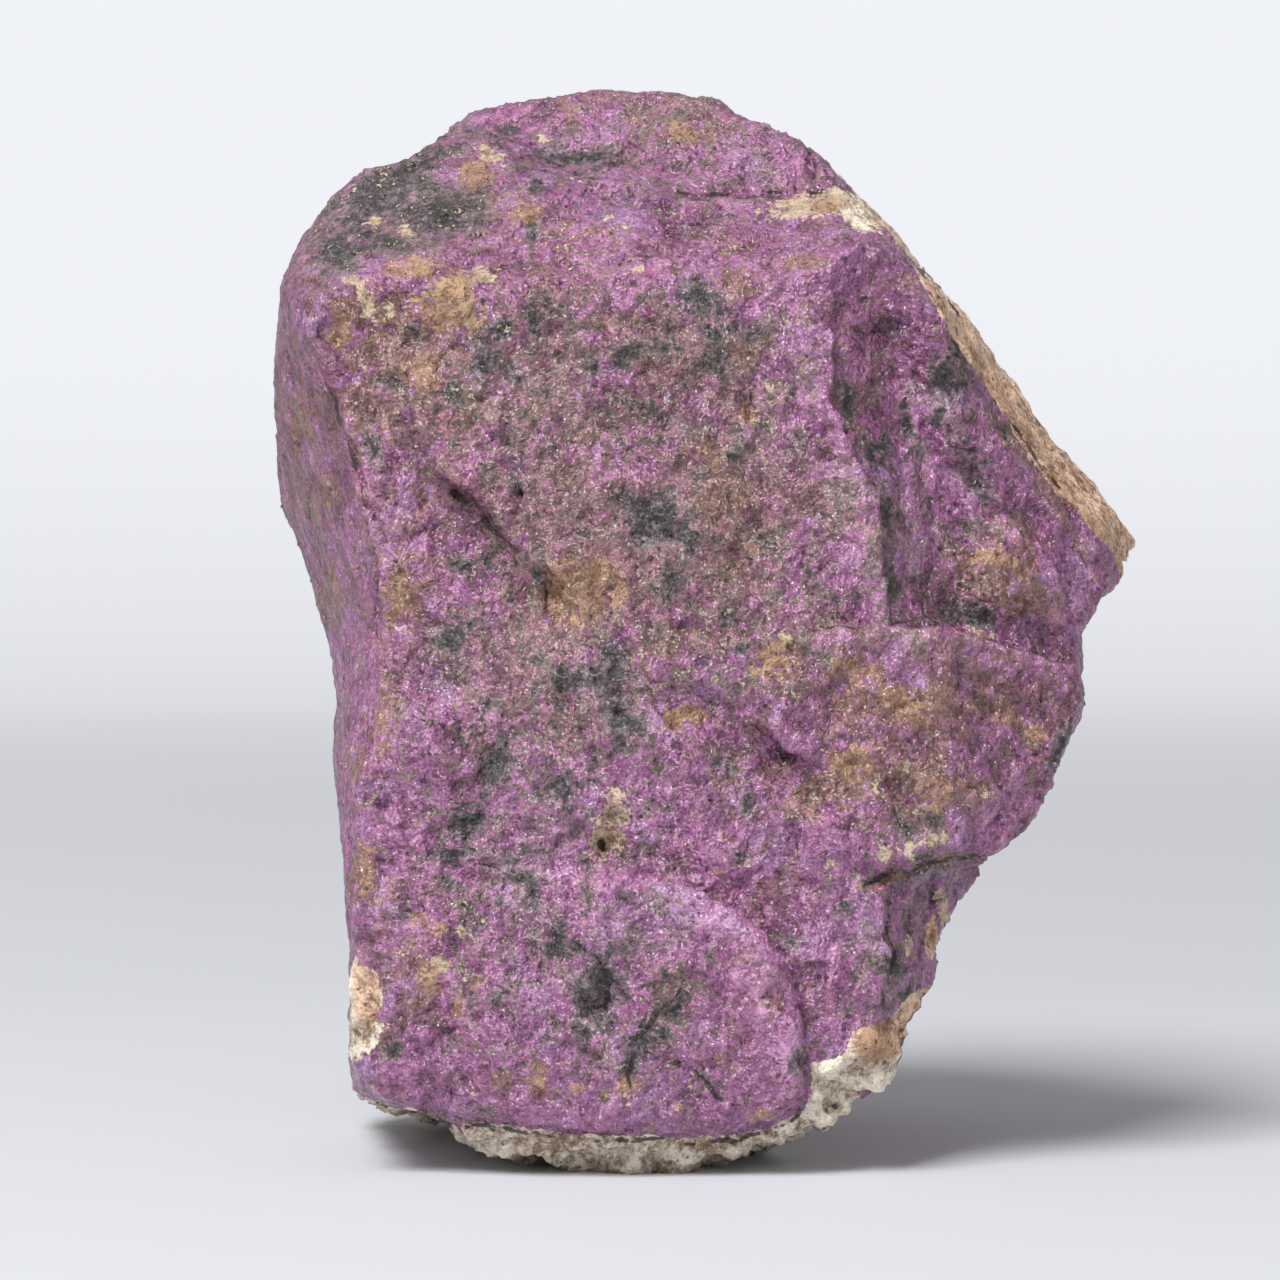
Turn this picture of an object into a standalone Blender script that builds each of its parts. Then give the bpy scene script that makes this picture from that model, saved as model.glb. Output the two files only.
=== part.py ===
"""A hand specimen of purpurite with a little of its pale host rock, as one solid stone.

The stone is 71 mm tall. +Z is up, its broad fractured face looks along -Y, and it stands on a
small flat spot at Z = 0. Lengths are millimetres until the mesh is made, and then metres.

The shape is two sheets, a front and a back, over one outline. The outline is what shows from a
viewpoint straight in front, so each point of a sheet lies on a line of sight from there: it is
named by its (across, up) place on the plane Y = 0, and a depth function says how far along the
line of sight the stone's surface is. Depth grows away from the viewer, as Y does.
"""

import math

import bmesh
import bpy
import numpy as np
from mathutils import Vector, noise
from mathutils.geometry import delaunay_2d_cdt

MM = 0.001

# The viewpoint in front of the stone, and the sheets' spacing of points
VIEW_ACROSS = -4.2
VIEW_DISTANCE = 303.0
VIEW_HEIGHT = 38.9
SHEET_STEP = 0.8
RIM_SLOPE = 1.1
RIM_WIDTH = 3.0
THINNEST = 0.8

# The broad face and the ones it falls away to, in mm of depth per mm across or up
FACE_DEPTH = -18.2
FACE_LEAN = 0.035
FACE_BOW = 0.0024
LEFT_SIDE_SLOPE = 2.5
LEFT_BACK_SLOPE = 2.8
TOP_SLOPE = 1.25
SHOULDER_SLOPE = 0.55
CRUST_SLOPE = 3.6
CORNER_SLOPE = 1.9
RIGHT_SLOPE = 0.42
FOOT_ROUND = 0.026

# Steps and hollows on the front, in mm deep
CREST_STEP = 4.0
SCAR_WALL = 3.4
SCAR_FLOOR_RISE = 1.2
LOBE_STEP = 1.3
HEM_STEP = 1.6
CREASE_HOLLOW = 0.9
FURROW_HOLLOW = 0.9

# The finished mesh
VOXEL = 0.5
TRIANGLES = 9000

# The outline, clockwise from the upper left shoulder
OUTLINE = [
    (-27.8, 58.3), (-28.5, 53.2), (-28.7, 47.8), (-28.6, 44.8), (-28.3, 42.1), (-27.5, 39.9),
    (-26.3, 36.4), (-25.0, 33.0), (-24.4, 29.7), (-24.6, 26.0), (-24.2, 21.6), (-23.9, 18.1),
    (-23.4, 14.2), (-23.5, 9.5), (-23.6, 5.5), (-23.3, 3.7), (-22.2, 2.7), (-19.5, 2.0),
    (-16.8, 1.4), (-16.2, 0.3), (-13.6, -0.7), (-9.6, -1.5), (-6.9, -1.7), (-4.2, -2.1),
    (-2.3, -2.1), (0.2, -1.5), (2.9, -0.8), (5.6, 0.1), (7.1, 0.8), (8.0, 0.4), (8.8, 1.0),
    (9.1, 2.0), (10.7, 2.8), (12.1, 4.1), (13.8, 6.5), (14.8, 8.8), (15.7, 11.0), (15.7, 12.9),
    (16.6, 14.6), (17.9, 16.2), (19.5, 18.6), (21.5, 20.6), (22.9, 22.4), (23.8, 24.3),
    (24.6, 27.0), (25.5, 29.3), (25.4, 32.0), (25.1, 34.3), (26.7, 36.5), (28.8, 38.2),
    (29.6, 39.4), (29.3, 40.8), (27.6, 42.9), (26.1, 44.8), (24.0, 46.8), (22.4, 49.0),
    (20.7, 51.1), (18.9, 53.7), (16.6, 56.4), (14.6, 58.9), (12.6, 61.6), (11.4, 62.7),
    (9.6, 63.8), (8.0, 65.8), (6.6, 67.1), (4.9, 67.8), (2.9, 68.7), (0.8, 70.0), (-2.2, 70.4),
    (-4.2, 70.5), (-6.9, 70.8), (-9.6, 70.7), (-11.1, 70.4), (-13.6, 69.8), (-15.4, 69.3),
    (-16.8, 68.4), (-19.0, 66.8), (-21.1, 65.7), (-22.6, 65.8), (-23.8, 65.1), (-25.0, 63.3),
    (-26.6, 60.6),
]

# Edges and ledges on the front, each a path of (across, up) points
LEFT_EDGE = [
    (-23.0, 3.5), (-22.9, 8.8), (-23.2, 14.2), (-23.6, 19.6), (-22.9, 23.6), (-21.8, 29.7),
    (-21.5, 33.7), (-22.1, 38.4), (-23.2, 43.1), (-24.5, 48.5), (-25.9, 53.6), (-27.3, 57.6),
]
LEFT_SIDE_RIDGE = [
    (-23.8, 20.0), (-23.8, 25.7), (-23.6, 31.0), (-24.5, 36.4), (-25.6, 41.1), (-26.5, 46.5),
    (-27.3, 51.2), (-28.0, 56.6),
]
TOP_EDGE = [
    (-27.1, 56.6), (-21.7, 57.6), (-17.0, 57.8), (-9.6, 57.4), (-1.5, 57.6), (5.2, 57.9),
    (8.6, 59.1), (11.3, 60.6),
]
CREST = [
    (-20.0, 68.8), (-16.6, 67.7), (-13.6, 66.7), (-10.6, 65.6), (-7.7, 64.5), (-5.2, 64.3),
    (-2.7, 63.1), (-0.2, 62.8), (3.9, 62.8), (6.6, 62.3), (10.6, 61.4),
]
SHOULDER = [(-29.0, 52.6), (-21.7, 59.9), (-15.6, 64.0), (-10.9, 66.0), (-9.8, 71.5)]
SCAR_EDGE = [
    (12.7, 34.7), (12.2, 39.6), (11.9, 43.0), (10.6, 46.0), (9.1, 48.6), (8.8, 53.2),
    (8.3, 55.6), (6.6, 57.3),
]
SCAR_VALLEY = [
    (17.7, 39.6), (18.2, 42.3), (17.4, 44.1), (15.8, 45.7), (14.2, 51.7), (13.6, 54.6),
]
SCAR_TOP = [(6.6, 57.3), (8.6, 59.1), (11.3, 61.4), (16.0, 62.0)]
SCAR_LEDGE = [(9.9, 34.6), (12.7, 34.7), (16.0, 34.5), (19.2, 33.9), (21.5, 33.0), (25.1, 32.5)]
CRUST_EDGE = [
    (9.2, 65.0), (10.6, 61.4), (13.3, 59.6), (15.8, 56.2), (17.3, 53.6), (20.0, 49.5), (22.0, 46.2),
    (24.0, 43.5), (26.4, 41.8), (27.8, 39.1),
]
LOBE_RIGHT = [(7.2, 3.1), (7.0, 6.8), (6.2, 9.5), (4.9, 13.2), (2.9, 15.2), (-0.2, 16.7), (-3.2, 17.6)]
LOBE_TOP = [
    (-18.3, 18.3), (-13.6, 17.2), (-9.6, 16.8), (-7.6, 17.6), (-6.2, 19.1), (-3.2, 17.6),
    (-0.2, 16.7), (8.0, 16.0),
]
CORNER_EDGE = [(11.8, 6.8), (12.9, 12.1), (12.3, 14.6), (13.6, 18.1)]
CORNER_SHELF = [(10.3, 17.2), (13.3, 18.1), (16.6, 18.8), (20.3, 19.3)]
PURPLE_HEM = [
    (-16.8, 1.6), (-12.3, 1.0), (-6.9, 0.3), (1.2, 0.3), (4.5, 1.0), (7.0, 2.2), (8.4, 4.4),
]
CREASE = [(-18.7, 45.7), (-16.6, 43.7), (-13.6, 40.4), (-9.6, 37.1)]
FURROW = [(-3.0, 31.5), (0.4, 29.9), (3.0, 28.3), (5.5, 26.0), (8.4, 23.8)]
RIGHT_EDGE = [(14.5, 18.5), (17.5, 25.0), (16.6, 29.7), (16.2, 34.4)]

# Small lumps and pits on the front: (across, up), radius, and how far each stands out
SMALL_LUMPS = [
    ((20.8, 37.2), 4.4, 1.3),
    ((8.0, 1.5), 1.3, 1.6),
    ((-24.6, 56.0), 2.2, 0.8),
    ((-19.4, 25.5), 3.6, 0.5),
    ((-0.6, 39.5), 5.5, 0.6),
    ((9.4, 20.5), 4.0, 0.6),
    ((-13.5, 30.5), 5.0, -0.5),
    ((17.2, 45.2), 1.8, -0.9),
    ((-6.4, 19.8), 1.1, -1.5),
    ((-6.7, 9.2), 1.6, -1.2),
]


def ramp(distance, run):
    """0 before an edge, 1 beyond it, and straight between, over a run in mm."""
    return np.clip(distance / run, 0.0, 1.0)


def fall(distance, slope):
    """A face that falls away beyond its edge, in mm of depth per mm."""
    return slope * np.maximum(distance, 0.0)


def above(path, across, up):
    """How far each point is above a path that runs across the stone."""
    places, heights = np.array(sorted(path)).T
    return up - np.interp(across, places, heights)


def right_of(path, across, up):
    """How far each point is to the right of a path that runs up the stone."""
    heights, places = np.array(sorted((high, place) for place, high in path)).T
    return across - np.interp(up, heights, places)


def beyond(path, across, up):
    """Signed distance from a path, positive on the left as one walks along it."""
    nearest = np.full(across.shape, np.inf)
    signed = np.zeros(across.shape)
    for (x0, z0), (x1, z1) in zip(path, path[1:]):
        run, rise = x1 - x0, z1 - z0
        length = math.hypot(run, rise)
        along = ((across - x0) * run + (up - z0) * rise) / length**2
        share = np.clip(along, 0.0, 1.0)
        distance = np.hypot(across - x0 - share * run, up - z0 - share * rise)
        side = run * (up - z0) - rise * (across - x0)
        closer = distance < nearest - 1e-9
        signed = np.where(closer, np.sign(side) * distance, signed)
        nearest = np.where(closer, distance, nearest)
    return signed


def dome(across, up, centre, radius, height):
    """A round swelling towards the viewer; a negative height is a hollow."""
    squared = ((across - centre[0]) ** 2 + (up - centre[1]) ** 2) / radius**2
    return -height * np.maximum(1.0 - squared, 0.0)


def scar_depth(across, up):
    """The deep flake scar on the right: a wall beyond its edge, a valley, and a floor."""
    wall = SCAR_WALL * ramp(right_of(SCAR_EDGE, across, up), 4.0)
    floor = -SCAR_FLOOR_RISE * ramp(right_of(SCAR_VALLEY, across, up), 1.6)
    inside = ramp(above(SCAR_LEDGE, across, up), 0.7) * ramp(-above(SCAR_TOP, across, up), 10.0)
    return (wall + floor) * inside


def lobe_depth(across, up):
    """The raised lobe at the lower left, with a sharp edge on its right."""
    inside = ramp(-right_of(LOBE_RIGHT, across, up), 0.8) * ramp(-above(LOBE_TOP, across, up), 1.6)
    return -LOBE_STEP * inside * (1.0 - 0.6 * ramp(-12.0 - across, 8.0))


def corner_depth(across, up):
    """The lower right corner, where the stone turns away below a thin shelf."""
    below_shelf = ramp(-above(CORNER_SHELF, across, up), 0.8)
    return fall(right_of(CORNER_EDGE, across, up), CORNER_SLOPE) * below_shelf


def crease_depth(across, up):
    """A slanting crease across the upper left, whose upper lip stands proud."""
    distance = beyond(CREASE, across, up)
    along = ramp(across + 20.5, 2.5) * (1.0 - ramp(across + 9.5, 3.0))
    lip = -0.5 * ramp(distance + 0.4, 1.0) * (1.0 - ramp(distance - 0.5, 8.0))
    hollow = CREASE_HOLLOW * ramp(0.6 - distance, 1.2) * (1.0 - ramp(-distance - 0.6, 5.5))
    return (lip + hollow) * along


def furrow_depth(across, up):
    """A furrow that slants down across the middle, steeper on its upper side."""
    distance = beyond(FURROW, across, up)
    hollow = ramp(0.7 - distance, 1.3) * (1.0 - ramp(-distance - 0.6, 3.0))
    return FURROW_HOLLOW * hollow * ramp(across + 4.0, 3.0) * (1.0 - ramp(across - 8.0, 2.0))


def front_depth(across, up):
    """The broad fractured face and what falls away round it."""
    depth = FACE_DEPTH + FACE_LEAN * (up - 30.0) + FACE_BOW * (across + 3.0) ** 2
    depth += fall(-right_of(LEFT_EDGE, across, up), LEFT_SIDE_SLOPE)
    depth += fall(-right_of(LEFT_SIDE_RIDGE, across, up), LEFT_BACK_SLOPE)
    depth += fall(above(TOP_EDGE, across, up), TOP_SLOPE)
    depth += CREST_STEP * ramp(above(CREST, across, up), 0.9)
    depth -= 0.35 * fall(above(CREST, across, up), TOP_SLOPE)
    depth += fall(beyond(SHOULDER, across, up), SHOULDER_SLOPE)
    depth += fall(beyond(CRUST_EDGE, across, up), CRUST_SLOPE)
    depth += fall(right_of(RIGHT_EDGE, across, up), RIGHT_SLOPE)
    depth += FOOT_ROUND * fall(8.0 - up, 1.0) ** 2
    depth += HEM_STEP * ramp(-above(PURPLE_HEM, across, up), 0.5)
    depth += scar_depth(across, up) + lobe_depth(across, up) + corner_depth(across, up)
    depth += crease_depth(across, up) + furrow_depth(across, up)
    for centre, radius, height in SMALL_LUMPS:
        depth += dome(across, up, centre, radius, height)
    return depth


def wander(across, up, seed):
    """A slow drift in mm, different for each seed, that keeps the hidden edges from being straight."""
    spots = zip(across / 13.0, up / 13.0)
    return 3.2 * np.array([noise.noise((x, z, seed)) for x, z in spots])


def back_depth(across, up):
    """The hidden side: the nearest of the faces on which the stone broke away."""
    x = across + wander(across, up, 1.5)
    z = up + wander(across, up, 7.5)
    depth = np.minimum.reduce([
        18.5 + 0.12 * (x + 8.0) - 0.10 * (z - 30.0),
        7.0 + 1.4 * (x + 25.0),
        -3.0 + 1.2 * (27.0 - x),
        -9.0 + 2.6 * (0.85 * (23.0 - x) + 0.53 * (z - 25.0)),
        10.0 + 1.2 * (68.0 - z) + 0.2 * x,
        5.0 + 1.3 * (0.78 * (6.6 - x) + 0.62 * (67.0 - z)),
        6.0 + 1.4 * (0.65 * (x + 26.0) + 0.76 * (56.0 - z)),
        9.0 + 1.1 * z,
    ])
    depth -= 1.8 * ramp(34.0 - z - 0.6 * x, 1.6)
    depth -= 1.3 * ramp(x - 4.0 + 0.7 * (z - 40.0), 1.4)
    return depth


def evenly_along(loop, step):
    """Points on a closed loop, no further apart than a step."""
    points = []
    for (x0, z0), (x1, z1) in zip(loop, loop[1:] + loop[:1]):
        count = max(1, math.ceil(math.hypot(x1 - x0, z1 - z0) / step))
        points += [(x0 + (x1 - x0) * i / count, z0 + (z1 - z0) * i / count) for i in range(count)]
    return points


def inside_loop(loop, across, up):
    """Which points lie inside a closed loop, by counting the sides to the right of each."""
    inside = np.zeros(across.shape, bool)
    for (x0, z0), (x1, z1) in zip(loop, loop[1:] + loop[:1]):
        spans = (z0 > up) != (z1 > up)
        rise = z1 - z0 if z1 != z0 else 1.0
        inside ^= spans & (across < x0 + (up - z0) * (x1 - x0) / rise)
    return inside


def sheet_layout():
    """The (across, up) points of a sheet and its triangles, rim first."""
    rim = evenly_along(OUTLINE, SHEET_STEP)
    low, high = np.min(OUTLINE, axis=0), np.max(OUTLINE, axis=0)
    across, up = np.meshgrid(
        np.arange(low[0], high[0], SHEET_STEP), np.arange(low[1], high[1], SHEET_STEP)
    )
    across, up = across.ravel(), up.ravel()
    clear = np.abs(beyond(rim + rim[:1], across, up)) > 0.5 * SHEET_STEP
    keep = inside_loop(OUTLINE, across, up) & clear
    points = rim + list(zip(across[keep], up[keep]))
    ring = [(i, (i + 1) % len(rim)) for i in range(len(rim))]
    placed, _, triangles, *_ = delaunay_2d_cdt([Vector(p) for p in points], ring, [], 1, 1e-5)
    return np.array(placed), triangles, len(rim)


def on_sight_lines(layout, depth):
    """Each sheet point in space, in mm, at its depth along its line of sight."""
    grown = (VIEW_DISTANCE + depth) / VIEW_DISTANCE
    across = VIEW_ACROSS + (layout[:, 0] - VIEW_ACROSS) * grown
    up = VIEW_HEIGHT + (layout[:, 1] - VIEW_HEIGHT) * grown
    return np.column_stack([across, depth, up])


def behind_rim(layout, rim_depths):
    """The least depth of the back, which leaves the rim at a bevel and so is nowhere too thin."""
    least = np.empty(len(layout))
    for i, place in enumerate(layout):
        distances = np.hypot(*(layout[: len(rim_depths)] - place).T)
        nearness = np.exp(distances.min() - distances)
        set_back = RIM_SLOPE * min(distances.min(), RIM_WIDTH)
        least[i] = np.average(rim_depths, weights=nearness**2) + set_back
    return least


def closed_sheets():
    """The front and the back sheet, joined round their rims into one closed mesh."""
    layout, triangles, rim_count = sheet_layout()
    front_depths = front_depth(*layout.T)
    least = np.maximum(behind_rim(layout, front_depths[:rim_count]), front_depths + THINNEST)
    back_depths = np.maximum(back_depth(*layout.T), least)
    front = on_sight_lines(layout, front_depths)
    back = on_sight_lines(layout, back_depths)
    count = len(layout)
    faces = [tuple(triangle) for triangle in triangles]
    faces += [tuple(count + i for i in reversed(triangle)) for triangle in triangles]
    for i in range(rim_count):
        following = (i + 1) % rim_count
        faces.append((i, count + i, count + following, following))
    mesh = bpy.data.meshes.new("purpurite")
    mesh.from_pydata(np.vstack([front, back]) * MM, [], faces)
    shell = bmesh.new()
    shell.from_mesh(mesh)
    bmesh.ops.recalc_face_normals(shell, faces=shell.faces)
    shell.to_mesh(mesh)
    shell.free()
    return mesh


def with_modifier(stone, kind, **settings):
    """Applies one modifier to the stone's mesh."""
    modifier = stone.modifiers.new(kind.title(), kind)
    for name, value in settings.items():
        setattr(modifier, name, value)
    graph = bpy.context.evaluated_depsgraph_get()
    made = bpy.data.meshes.new_from_object(stone.evaluated_get(graph))
    stone.modifiers.clear()
    stone.data = made


def roughen(mesh):
    """Uneven fracture surfaces: broad swells, hackly steps and small lumps."""
    mesh.calc_loop_triangles()
    moved = []
    for vertex in mesh.vertices:
        place = vertex.co / MM
        swell = noise.noise(place / 11.0)
        hackle = noise.ridged_multi_fractal(place / 5.0, 1.0, 2.1, 3, 1.0, 2.0) - 1.2
        lumps = noise.fractal(place / 2.6, 1.0, 2.2, 3)
        moved.append(vertex.co + vertex.normal * (0.55 * swell + 0.22 * hackle + 0.22 * lumps) * MM)
    mesh.vertices.foreach_set("co", np.array(moved, np.float32).ravel())
    mesh.update()


def cut_flat_spot(mesh):
    """The small flat spot that the stone stands on, at Z = 0."""
    shape = bmesh.new()
    shape.from_mesh(mesh)
    cut = bmesh.ops.bisect_plane(
        shape,
        geom=shape.verts[:] + shape.edges[:] + shape.faces[:],
        plane_co=(0, 0, 0),
        plane_no=(0, 0, -1),
        clear_outer=True,
    )
    edges = [item for item in cut["geom_cut"] if isinstance(item, bmesh.types.BMEdge)]
    bmesh.ops.holes_fill(shape, edges=edges, sides=0)
    bmesh.ops.triangulate(shape, faces=[face for face in shape.faces if len(face.verts) > 3])
    shape.to_mesh(mesh)
    shape.free()


def centre_over_origin(mesh):
    """Puts the middle of the stone's box over the origin."""
    corners = np.array([vertex.co for vertex in mesh.vertices])
    middle = (corners.min(axis=0) + corners.max(axis=0)) / 2
    for vertex in mesh.vertices:
        vertex.co.x -= middle[0]
        vertex.co.y -= middle[1]
    mesh.update()
    print("moved to the middle by", -middle[:2] / MM, "mm")


def purpurite_material():
    """Dull, slightly silky violet stone."""
    material = bpy.data.materials.new("purpurite")
    material.use_nodes = True
    surface = material.node_tree.nodes["Principled BSDF"]
    surface.inputs["Base Color"].default_value = (0.19, 0.075, 0.2, 1.0)
    surface.inputs["Roughness"].default_value = 0.6
    surface.inputs["Metallic"].default_value = 0.0
    return material


def main():
    for old in list(bpy.data.objects):
        bpy.data.objects.remove(old)
    stone = bpy.data.objects.new("purpurite", closed_sheets())
    bpy.context.scene.collection.objects.link(stone)
    with_modifier(stone, "REMESH", mode="VOXEL", voxel_size=VOXEL * MM)
    roughen(stone.data)
    triangles = 2 * len(stone.data.polygons)
    with_modifier(stone, "DECIMATE", ratio=TRIANGLES / triangles)
    cut_flat_spot(stone.data)
    centre_over_origin(stone.data)
    stone.data.shade_smooth()
    stone.data.set_sharp_from_angle(angle=math.radians(35))
    stone.data.materials.append(purpurite_material())


main()
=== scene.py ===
# %% [markdown]
# # A purpurite hand specimen
#
# Purpurite is a violet manganese phosphate. It has no crystal faces of its own: a specimen is a
# broken lump, and what one sees is its fracture. Here that is one stone, 71 mm tall, with dark
# oxide, rusty films and some pale host rock on it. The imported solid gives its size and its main
# faces. This script adds the finer relief, the finish, a plain studio and a camera. Blender's
# noise vectors start from the clock unless they get a seed, so they get one here.

import math

import bmesh
import bpy
import numpy as np
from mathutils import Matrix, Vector, noise
from mathutils.kdtree import KDTree


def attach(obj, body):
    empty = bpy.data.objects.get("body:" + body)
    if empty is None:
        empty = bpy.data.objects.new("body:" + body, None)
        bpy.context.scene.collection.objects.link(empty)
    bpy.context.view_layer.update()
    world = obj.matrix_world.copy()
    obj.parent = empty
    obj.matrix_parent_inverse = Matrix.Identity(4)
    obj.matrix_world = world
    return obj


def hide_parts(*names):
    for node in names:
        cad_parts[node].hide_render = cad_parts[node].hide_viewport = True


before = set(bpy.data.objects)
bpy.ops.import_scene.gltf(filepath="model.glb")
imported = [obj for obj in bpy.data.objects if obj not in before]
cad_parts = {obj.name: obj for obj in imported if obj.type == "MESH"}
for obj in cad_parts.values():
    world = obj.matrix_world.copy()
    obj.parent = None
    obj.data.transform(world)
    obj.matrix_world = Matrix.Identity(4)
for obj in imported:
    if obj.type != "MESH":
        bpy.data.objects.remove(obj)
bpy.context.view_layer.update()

MM = 0.001
NOISE_SEED = 7
noise.seed_set(NOISE_SEED)
stone_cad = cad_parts["purpurite"]

# %% [markdown]
# ## Places on the stone
#
# Every mark on the front is named by where it shows from straight in front, as (across, up) in
# mm on the plane Y = 0. A point of the mesh gets the same two numbers by following its line of
# sight from the viewpoint, so a mark lands on whatever face carries it, and stays on the stone
# from all sides. A mark fades out where the surface turns away from the viewpoint.

# %% Find where a point of the mesh shows
VIEW_ACROSS, VIEW_DISTANCE, VIEW_HEIGHT = -4.2, 303.0, 38.9
SOLID_SHIFT = np.array([-0.163, 0.081, 0.0])
EDGE_ON, EDGE_FADE = 0.02, 0.12


def seen_place(points):
    """(across, up) of mesh points in mm, as they show from the viewpoint."""
    x, y, z = (points - SOLID_SHIFT).T
    grown = (VIEW_DISTANCE + y) / VIEW_DISTANCE
    return VIEW_ACROSS + (x - VIEW_ACROSS) / grown, VIEW_HEIGHT + (z - VIEW_HEIGHT) / grown


def facing_front(points, normals):
    """1 where the surface looks to the viewpoint, and 0 where it turns away."""
    viewpoint = np.array([VIEW_ACROSS, -VIEW_DISTANCE, VIEW_HEIGHT]) + SOLID_SHIFT
    sight = viewpoint - points
    sight /= np.linalg.norm(sight, axis=1)[:, None]
    return np.clip((np.sum(sight * normals, axis=1) + EDGE_ON) / EDGE_FADE, 0.0, 1.0)


# %% [markdown]
# ## Paths
#
# Cracks and the limits of the host rock are paths. A crack needs the nearest point of its path,
# and a limit needs the distance to it with a sign, so one function gives both.

# %% Measure from a path
TAPER = 2.0


def from_path(path, across, up):
    """Signed distance in mm, positive on the left along the path, the nearest place and its taper.

    The taper is 0 at the path's two ends and rises to 1 within a few mm.
    """
    nearest = np.full(across.shape, np.inf)
    signed, travelled = np.zeros(across.shape), np.zeros(across.shape)
    spot = np.zeros(across.shape + (2,))
    so_far = 0.0
    for (x0, z0), (x1, z1) in zip(path, path[1:]):
        run, rise = x1 - x0, z1 - z0
        length = math.hypot(run, rise)
        share = np.clip(((across - x0) * run + (up - z0) * rise) / length**2, 0.0, 1.0)
        place = np.stack([x0 + share * run, z0 + share * rise], axis=-1)
        distance = np.hypot(across - place[..., 0], up - place[..., 1])
        side = run * (up - z0) - rise * (across - x0)
        closer = distance < nearest - 1e-9
        signed = np.where(closer, np.sign(side) * distance, signed)
        travelled = np.where(closer, so_far + share * length, travelled)
        spot[closer] = place[closer]
        nearest = np.where(closer, distance, nearest)
        so_far += length
    reach = min(TAPER, 0.4 * so_far)
    taper = np.clip(np.minimum(travelled, so_far - travelled) / reach, 0.0, 1.0)
    return signed, spot, taper


# %% [markdown]
# ## The stone's mesh
#
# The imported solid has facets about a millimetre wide. The piece that shows is a copy of it,
# rebuilt as an even grid of small cells (a voxel remesh) and smoothed until the facets are gone,
# which leaves ridges as round as a worn break. An even grid is what the next step needs, because
# it moves every point of the surface by a small amount.

# %% Rebuild the solid as a fine, even mesh
CELL = 0.25
SMOOTHING_STEPS = 5


def apply_modifier(thing, kind, **settings):
    """Applies one modifier to an object's mesh."""
    modifier = thing.modifiers.new(kind.title(), kind)
    for name, value in settings.items():
        setattr(modifier, name, value)
    graph = bpy.context.evaluated_depsgraph_get()
    made = bpy.data.meshes.new_from_object(thing.evaluated_get(graph))
    thing.modifiers.clear()
    thing.data = made


stone = bpy.data.objects.new("purpurite_stone", stone_cad.data.copy())
bpy.context.scene.collection.objects.link(stone)
weld = bmesh.new()
weld.from_mesh(stone.data)
bmesh.ops.remove_doubles(weld, verts=weld.verts, dist=0.001 * MM)
weld.to_mesh(stone.data)
weld.free()
apply_modifier(stone, "REMESH", mode="VOXEL", voxel_size=CELL * MM)
apply_modifier(stone, "SMOOTH", factor=0.5, iterations=SMOOTHING_STEPS)
print("fine mesh:", len(stone.data.vertices), "points")


def mesh_points(mesh):
    """A mesh's points and normals as arrays, the points in mm."""
    points = np.empty(len(mesh.vertices) * 3, np.float32)
    normals = np.empty(len(mesh.vertices) * 3, np.float32)
    mesh.vertices.foreach_get("co", points)
    mesh.vertices.foreach_get("normal", normals)
    return points.reshape(-1, 3).astype(float) / MM, normals.reshape(-1, 3).astype(float)


# %% [markdown]
# ## Marks read from the stone
#
# Each kind of mark is a list of ellipses: (across, up, half width, half height), and the turn in
# degrees where one is turned. They only say where a patch is and how large. The ragged edge of
# each patch comes later, from the material.

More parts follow.
